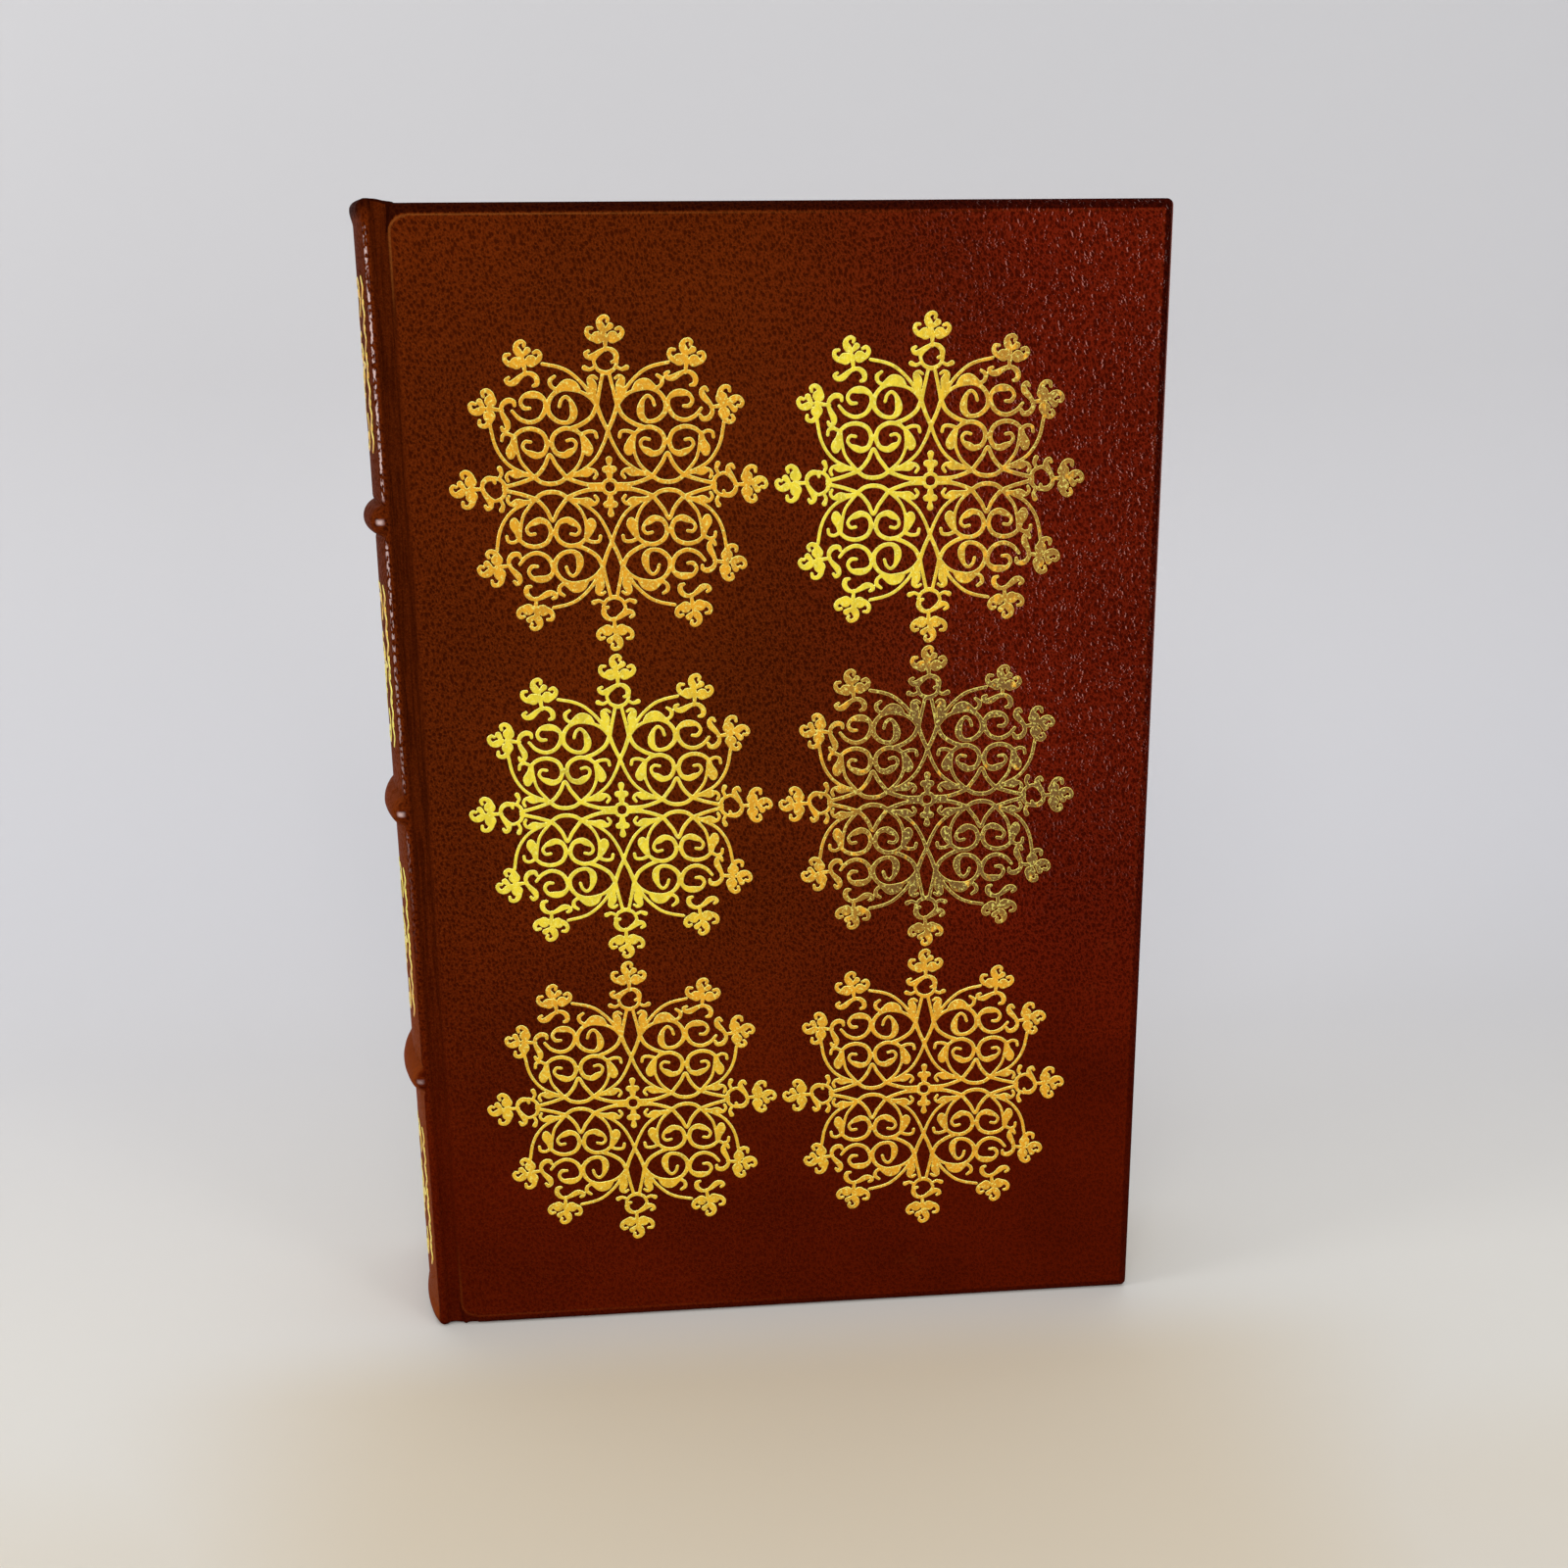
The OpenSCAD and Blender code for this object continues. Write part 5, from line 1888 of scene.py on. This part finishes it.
def run_tree(
    obj: bpy.types.Object, tree: bpy.types.NodeTree, values: dict[str, object]
) -> bpy.types.Object:
    """Runs a geometry tree on an object and keeps the result as a plain mesh.

    Args:
        obj: The object whose mesh goes in.
        tree: The tree.
        values: Values by input name.

    Returns:
        The same object with its new mesh and no modifier.
    """
    modifier = obj.modifiers.new("Build", "NODES")
    modifier.node_group = tree
    for item in tree.interface.items_tree:
        if item.item_type == "SOCKET" and item.in_out == "INPUT" and item.name in values:
            modifier[item.identifier] = values[item.name]
    bpy.context.view_layer.update()
    graph = bpy.context.evaluated_depsgraph_get()
    graph.update()
    plain = bpy.data.meshes.new_from_object(obj.evaluated_get(graph))
    obj.modifiers.remove(modifier)
    obj.data = plain
    return obj


@dataclass
class CoverGilding:
    """The six stamped ornaments of one cover."""

    side: Side
    columns: int = 2
    rows: int = 3

    def build(
        self, stamp: Relief, tree: bpy.types.NodeTree, material: bpy.types.Material
    ) -> bpy.types.Object:
        """Stamps the cover.

        Args:
            stamp: Relief of one ornament.
            tree: Tree that repeats it.
            material: The gold.

        Returns:
            The new object.
        """
        b = BOOK
        corners, faces, rim = stamp
        s = self.side.value
        own = corners * np.array([-s, s, 1]) * MM
        obj = make_object(f"{self.side.word}_gilding", own, faces, material, {"rim": rim}, RELIEF_WELD)
        centre = ((b.gild_x + b.shift_u) * MM, s * b.half_t * MM, (b.cover_h / 2 - b.gild_drop) * MM)
        values = {
            "Columns": self.columns,
            "Rows": self.rows,
            "Column pitch": b.col_pitch * MM,
            "Row pitch": b.row_pitch * MM,
            "Centre": centre,
        }
        return run_tree(obj, tree, values)


@dataclass
class SpineGilding:
    """Gilding of the four spine panels, bent round the spine."""

    panels: tuple[float, ...] = (30.0, 90.0, 150.0, 210.0)

    def build(self, stamp: Relief, material: bpy.types.Material) -> bpy.types.Object:
        """Bends the relief round the spine, once for each panel.

        Args:
            stamp: Relief of one panel.
            material: The gold.

        Returns:
            The new object.
        """
        b = BOOK
        corners, faces, rim = stamp
        points, polys, rims = [], [], []
        for z in self.panels:
            first = sum(len(p) for p in points)
            radius = b.spine_big_r + corners[:, 1]
            angle = corners[:, 0] / b.spine_big_r
            u, w = b.arc_u - radius * np.cos(angle), radius * np.sin(angle)
            points.append(place(np.stack([u, w, corners[:, 2] + z], 1)))
            polys += [tuple(i + first for i in face) for face in faces]
            rims.append(rim)
        values = {"rim": np.concatenate(rims)}
        return make_object("spine_gilding", np.vstack(points), polys, material, values, RELIEF_WELD)


@dataclass
class Leaves:
    """The leaves as gatherings that spread at the spine and are hollow at the fore edge."""

    gatherings: int = 34
    soft: float = 0.12
    rounded: float = 0.14
    spread: float = 1.13
    flare: float = 0.155
    uneven: float = 0.1

    def _outline(self, v: float, wave: float) -> np.ndarray:
        """Stations of one gathering from the spine to the fore edge.

        Args:
            v: Its place between the covers, from -1 to 1.
            wave: How much it stands in or out.

        Returns:
            Places from the shoulder line.
        """
        b = BOOK
        side = v * b.leaf_w
        r = b.spine_big_r - b.spine_leaf_gap
        fore_r = (b.leaf_w**2 + b.fore_hollow**2) / (2 * b.fore_hollow)
        fore = b.leaf_end - b.fore_hollow + fore_r - math.sqrt(fore_r**2 - side**2) - wave
        flare = side * self.spread
        root = min(b.arc_u - math.sqrt(max(r * r - flare * flare, 0.0)) + 0.05, b.leaf_u - 1.25)
        near, far = np.linspace(root, b.leaf_u + 1.0, 9), np.linspace(b.leaf_u + 12, fore, 8)
        return np.concatenate([near, far])

    def build(self, material: bpy.types.Material) -> bpy.types.Object:
        """Builds all gatherings as one object.

        Args:
            material: Edges of the leaves.

        Returns:
            The new object.
        """
        b = BOOK
        work = MeshWork("leaves")
        for g in range(self.gatherings):
            v0 = -1 + 2 * g / self.gatherings
            v1 = -1 + 2 * (g + 1) / self.gatherings
            mid = (v0 + v1) / 2
            shake = noise.noise(Vector((g * 1.7, 4.0, 0.0)))
            stations = self._outline(mid, self.uneven * abs(shake))
            inset = 0.06 + 0.05 * noise.noise(Vector((g * 2.3, 9.0, 0.0)))
            layers = []
            near, far = 1 - self.rounded, self.rounded
            inner = (v0 * near + v1 * far, v0 * far + v1 * near)
            for v, cut in ((v0, self.soft), (inner[0], 0.0), (inner[1], 0.0), (v1, self.soft)):
                lo = b.margin + inset + cut
                hi = b.cover_h - b.margin - inset - cut
                u = stations.copy()
                u[-1] -= cut
                u[0] += cut
                flare = 1 + self.flare * ease((b.leaf_u + 0.4 - u) / 1.9)
                w = v * b.leaf_w * np.minimum(flare, self.spread)
                low = np.stack([u, w, np.full_like(u, lo)], 1)
                high = np.stack([u, w, np.full_like(u, hi)], 1)
                layers.append(np.vstack([low, high[::-1]]))
            n = len(layers[0])
            first = work.loft([(layer,) for layer in layers], wrap=True)
            half = n // 2
            for base, flip in ((first, False), (first + 3 * n, True)):
                for i in range(half - 1):
                    face = (base + i, base + n - 1 - i, base + n - 2 - i, base + i + 1)
                    work.faces.append(face[::-1] if flip else face)
        return work.finish(material, sharp=35.0, weld=1e-8)


@dataclass
class BandThreads:
    """Silk threads sewn over one end band, turn beside turn along the curve of the spine."""

    name: str
    level: float
    turns: int = 74
    thread_r: float = 0.23
    loop_r: float = 1.0

    def _tree(self, material: bpy.types.Material) -> bpy.types.NodeTree:
        """Builds the tree that winds thread loops along a line.

        Args:
            material: The silk.

        Returns:
            The tree.
        """
        kinds = {"Line": "Geometry", "Turns": "Int", "Loop radius": "Float", "Thread radius": "Float"}
        g, into, out = new_tree("Wind thread", "Geometry", kinds, ("Wound",), "Geometry")
        circle = "GeometryNodeCurvePrimitiveCircle"
        loop = g.add(circle, {"Resolution": 12, "Radius": into["Loop radius"]})
        thread = g.add(circle, {"Resolution": 6, "Radius": into["Thread radius"]})
        line = g.add("GeometryNodeMeshToCurve", {"Mesh": into["Line"]})
        along = g.add("GeometryNodeInputTangent")
        feeds = {
            "Points": g.add("GeometryNodeResampleCurve", {"Curve": line, "Count": into["Turns"]}),
            "Instance": g.add("GeometryNodeCurveToMesh", {"Curve": loop, "Profile Curve": thread}),
            "Rotation": g.add("FunctionNodeAlignRotationToVector", {"Vector": along}, axis="Z"),
        }
        out.feed({0: finished(g, feeds, material)})
        return g.tree

    def build(self, material: bpy.types.Material) -> bpy.types.Object:
        """Winds the threads.

        Args:
            material: The silk.

        Returns:
            The new object.
        """
        b = BOOK
        r = b.spine_big_r - b.spine_leaf_gap - 1.1
        reach = b.half_a - math.radians(4.7)
        arc = wrap_arc((b.arc_u, 0.0), r, math.pi - reach, math.pi + reach, 60)
        pts = place(np.stack([arc[:, 0], arc[:, 1], np.full(len(arc), self.level)], 1))
        mesh = bpy.data.meshes.new(self.name)
        mesh.from_pydata(pts.tolist(), [(i, i + 1) for i in range(len(pts) - 1)], [])
        values = {
            "Turns": self.turns,
            "Loop radius": self.loop_r * MM,
            "Thread radius": self.thread_r * MM,
        }
        obj = run_tree(link(bpy.data.objects.new(self.name, mesh)), self._tree(material), values)
        obj.data.polygons.foreach_set("use_smooth", [True] * len(obj.data.polygons))
        return obj


@dataclass
class JointPaper:
    """Endpaper that runs from the leaves to the board."""

    side: Side
    steps: int = 18
    clear: float = 0.03

    def ends(self) -> tuple[float, float]:
        """Places of its two edges from the shoulder line."""
        return BOOK.leaf_u + self.clear, BOOK.board_u - self.clear

    def build(self, material: bpy.types.Material) -> bpy.types.Object:
        """Builds the strip as one closed mesh with its own map.

        Args:
            material: The paper, patterned by the strip's own map.

        Returns:
            The new object.
        """
        b = BOOK
        u0, u1 = self.ends()
        inner = b.groove_r + b.leather_t + 0.06
        low0, low1 = b.leaf_w + 0.27, b.half_t - b.cover_t + 0.16
        levels = np.linspace(b.margin + 0.2, b.cover_h - b.margin - 0.2, 13)
        work = MeshWork(f"{self.side.word}_joint_paper")
        table = []
        for i in range(self.steps + 1):
            t = i / self.steps
            u = u0 + (u1 - u0) * t
            top = b.half_t - math.sqrt(max(inner**2 - (u - b.hinge_u) ** 2, 0.01))
            low = low0 + (low1 - low0) * t + 0.12 * math.sin(math.pi * t)
            table.append([(u, top), (u, (top + low) / 2), (u, low)])
        across = np.array(table)
        ring = np.concatenate([across[:, 0], across[-1:, 1], across[::-1, 2], across[:1, 1]])
        n = len(ring)
        rings = [(np.stack([ring[:, 0], ring[:, 1], np.full(n, z)], 1),) for z in levels]
        first = work.loft(rings, wrap=True)
        for base, flip in ((first, True), (first + (len(levels) - 1) * n, False)):
            s = self.steps
            for i in range(s):
                left, right = i, i + 1
                painted_lower_left_light, low_right = n - 2 - i, n - 3 - i
                face = (base + left, base + right, base + low_right, base + painted_lower_left_light)
                work.faces.append(face[::-1] if flip else face)
            work.faces.append((base + s, base + s + 1, base + s + 2))
            work.faces.append((base + n - 2, base + n - 1, base))
        work.turn_to(self.side)
        obj = work.finish(material, weld=1e-9)
        layer = obj.data.uv_layers.new(name="joint")
        for loop in obj.data.loops:
            co = obj.data.vertices[loop.vertex_index].co
            t = (co.x / MM - b.shift_u - u0) / (u1 - u0)
            layer.data[loop.index].uv = (t * 0.012 + abs(co.y) * 0.3, co.z)
        return obj


@dataclass(frozen=True)
class Lamp:
    """One soft lamp: its place and aim in metres, its width and height, power in watts and tint."""

    name: str
    spot: tuple[float, float, float]
    aim: tuple[float, float, float]
    size: tuple[float, float]
    power: float
    tint: tuple[float, float, float]

    def build(self) -> None:
        """Hangs the lamp."""
        data = bpy.data.lights.new(self.name, "AREA")
        data.shape = "RECTANGLE"
        data.size, data.size_y = self.size
        data.energy = self.power
        data.color = self.tint
        obj = link(bpy.data.objects.new(self.name, data))
        obj.location = self.spot
        obj.rotation_euler = (Vector(self.aim) - Vector(self.spot)).to_track_quat("-Z", "Y").to_euler()


@dataclass
class Studio:
    """Pale sweep, soft lamps and the camera of the photograph."""

    floor_end: float = 0.13
    bend_r: float = 0.2
    wall_top: float = 1.9
    half_width: float = 2.2
    front: float = -2.0
    lens: float = 39.24
    lamps: tuple[Lamp, ...] = (
        Lamp("front_lamp", (-0.15, -1.2, 0.95), (0, 0, 0.12), (0.9, 0.5), 6.6, (1.0, 0.98, 0.95)),
        Lamp("left_lamp", (-0.8, -0.25, 0.4), (-0.07, 0, 0.14), (0.25, 0.6), 1.8, (1.0, 0.98, 0.95)),
        Lamp("right_lamp", (0.55, -0.65, 0.3), (0.06, 0, 0.14), (0.2, 0.6), 1.3, (1.0, 0.97, 0.94)),
        Lamp("top_lamp", (0.0, -0.1, 1.15), (0, 0.05, 0.0), (0.9, 0.9), 3.2, (0.97, 0.98, 1.0)),
    )
    room: tuple[Colour, float] = ((0.93, 0.95, 1.0, 1.0), 0.34)
    backdrop: tuple[Colour, float] = ((0.97, 0.98, 1.0, 1.0), 0.62)
    camera_spot: tuple[float, float, float] = (-0.02582, -0.36571, 0.21668)
    camera_forward: tuple[float, float, float] = (0.0812, 0.9624, -0.2592)
    camera_up: tuple[float, float, float] = (0.0337, 0.2572, 0.9658)

    def sweep(self, material: bpy.types.Material) -> bpy.types.Object:
        """Builds floor and backdrop as one bent sheet.

        Args:
            material: The paper of the stage.

        Returns:
            The new object.
        """
        line = [(self.front, 0.0), (-0.6, 0.0), (self.floor_end, 0.0)]
        for a in np.linspace(0, math.pi / 2, 24)[1:]:
            line.append((self.floor_end + self.bend_r * math.sin(a), self.bend_r * (1 - math.cos(a))))
        line.append((self.floor_end + self.bend_r, self.wall_top))
        verts = [(x, y, z) for y, z in line for x in (-self.half_width, self.half_width)]
        faces = [(2 * i, 2 * i + 1, 2 * i + 3, 2 * i + 2) for i in range(len(line) - 1)]
        mesh = bpy.data.meshes.new("sweep")
        mesh.from_pydata(verts, [], faces)
        mesh.polygons.foreach_set("use_smooth", [True] * len(faces))
        mesh.materials.append(material)
        obj = link(bpy.data.objects.new("sweep", mesh))
        return obj

    def lights(self) -> None:
        """Sets up the lamps and the soft light all round."""
        for lamp in self.lamps:
            lamp.build()
        world = bpy.data.worlds.new("soft_room")
        world.use_nodes = True
        world.node_tree.nodes.clear()
        g = Graph(world.node_tree)
        seen = g.add("ShaderNodeLightPath")["Is Camera Ray"]
        both = [
            g.add("ShaderNodeBackground", {"Color": tint, "Strength": strength})
            for tint, strength in (self.room, self.backdrop)
        ]
        mixed = g.add("ShaderNodeMixShader", {0: seen, 1: both[0], 2: both[1]})
        g.add("ShaderNodeOutputWorld", {"Surface": mixed})
        bpy.context.scene.world = world
        bpy.context.scene.view_settings.view_transform = "Standard"

    def camera(self) -> None:
        """Sets the camera where the photograph was taken."""
        data = bpy.data.cameras.new("camera")
        data.lens = self.lens
        data.sensor_width = 36.0
        data.clip_start = 0.01
        data.clip_end = 20.0
        forward = Vector(self.camera_forward).normalized()
        right = forward.cross(Vector(self.camera_up)).normalized()
        turn = Matrix((right, right.cross(forward), -forward)).transposed().to_4x4()
        obj = link(bpy.data.objects.new("camera", data))
        obj.matrix_world = Matrix.Translation(self.camera_spot) @ turn
        bpy.context.scene.camera = obj


@dataclass
class Book:
    """Dresses the whole book, one assembly after the other."""

    finishes: Finishes

    def keep_inner_parts(self) -> None:
        """Gives the parts of the frame that stay their materials."""
        f = self.finishes
        plan = {
            "board": f.board,
            "pastedown": f.paper,
            "flyleaf": f.paper,
            "spine_inlay": f.card,
            "raised_band": f.card,
            "spine_lining": f.cloth,
            "headband": f.silk,
            "tailband": f.silk,
        }
        for name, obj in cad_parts.items():
            finish = next((m for key, m in plan.items() if key in name), f.leather)
            obj.data.materials.clear()
            obj.data.materials.append(finish)

    def covers(self) -> None:
        """Builds both cover skins and the paper at both joints."""
        for side in Side:
            skin = CoverSkin(side).build(self.finishes.leather)
            y = side.value * BOOK.half_t * MM
            groove = BOOK.hinge_u + BOOK.shift_u
            start = ((groove - BOOK.groove_r * 0.95) * MM, y, 0.12)
            end = ((groove + BOOK.groove_r * 0.95) * MM, y, 0.12)
            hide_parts(f"{side.word}_joint_leather", f"{side.word}_leather")
            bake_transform(skin)
            note(skin)
            joint = JointPaper(side)
            strip = joint.build(self.finishes.joint_paper)
            u0, u1 = joint.ends()
            (u0 + BOOK.shift_u) * MM
            (u1 + BOOK.shift_u) * MM
            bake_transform(strip)
            note(strip)

    def spine(self) -> None:
        """Builds the spine skin with its gilding and the threads of the end bands."""
        skin = SpineSkin().build(self.finishes.leather)
        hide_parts("spine_leather")
        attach(skin, "book_block")
        note(skin)
        motif = SpineMotif()
        stamp = Stamp(motif.strokes(), motif.half, motif.cell).build()
        gold = SpineGilding().build(stamp, self.finishes.gilt)
        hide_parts(*[f"spine_ornament_{i}" for i in range(1, 5)])
        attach(gold, "book_block")
        note(gold)
        beyond = BOOK.margin - 1.0
        for name, level in (("headband_threads", BOOK.cover_h - beyond), ("tailband_threads", beyond)):
            threads = BandThreads(name, level).build(self.finishes.silk)
            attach(threads, "book_block")
            note(threads)

    def gilding(self) -> None:
        """Stamps both covers."""
        ornament = Filigree()
        stamp = Stamp(ornament.strokes(), ornament.half, ornament.cell).build()
        tree = repeat_tree(self.finishes.gilt)
        for side in Side:
            gold = CoverGilding(side).build(stamp, tree, self.finishes.gilt)
            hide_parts(*[f"{side.word}_medallion_{i}" for i in range(1, 7)])
            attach(gold, f"{side.word}_cover")
            note(gold)

    def leaves(self) -> None:
        """Builds the leaves."""
        block = Leaves().build(self.finishes.edges)
        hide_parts("text_block")
        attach(block, "book_block")
        note(block)


def note(obj: bpy.types.Object) -> None:
    """Logs a piece and the number of its faces."""
    log.info("%s: %d faces", obj.name, len(obj.data.polygons))


def main() -> None:
    """Builds the studio and the book."""
    logging.basicConfig(level=logging.INFO, format="%(name)s: %(message)s")
    finishes = Finishes.make()
    book = Book(finishes)
    book.keep_inner_parts()
    book.covers()
    book.spine()
    book.gilding()
    book.leaves()
    studio = Studio()
    studio.sweep(finishes.stage)
    studio.lights()
    studio.camera()


if __name__ == "__main__":
    main()
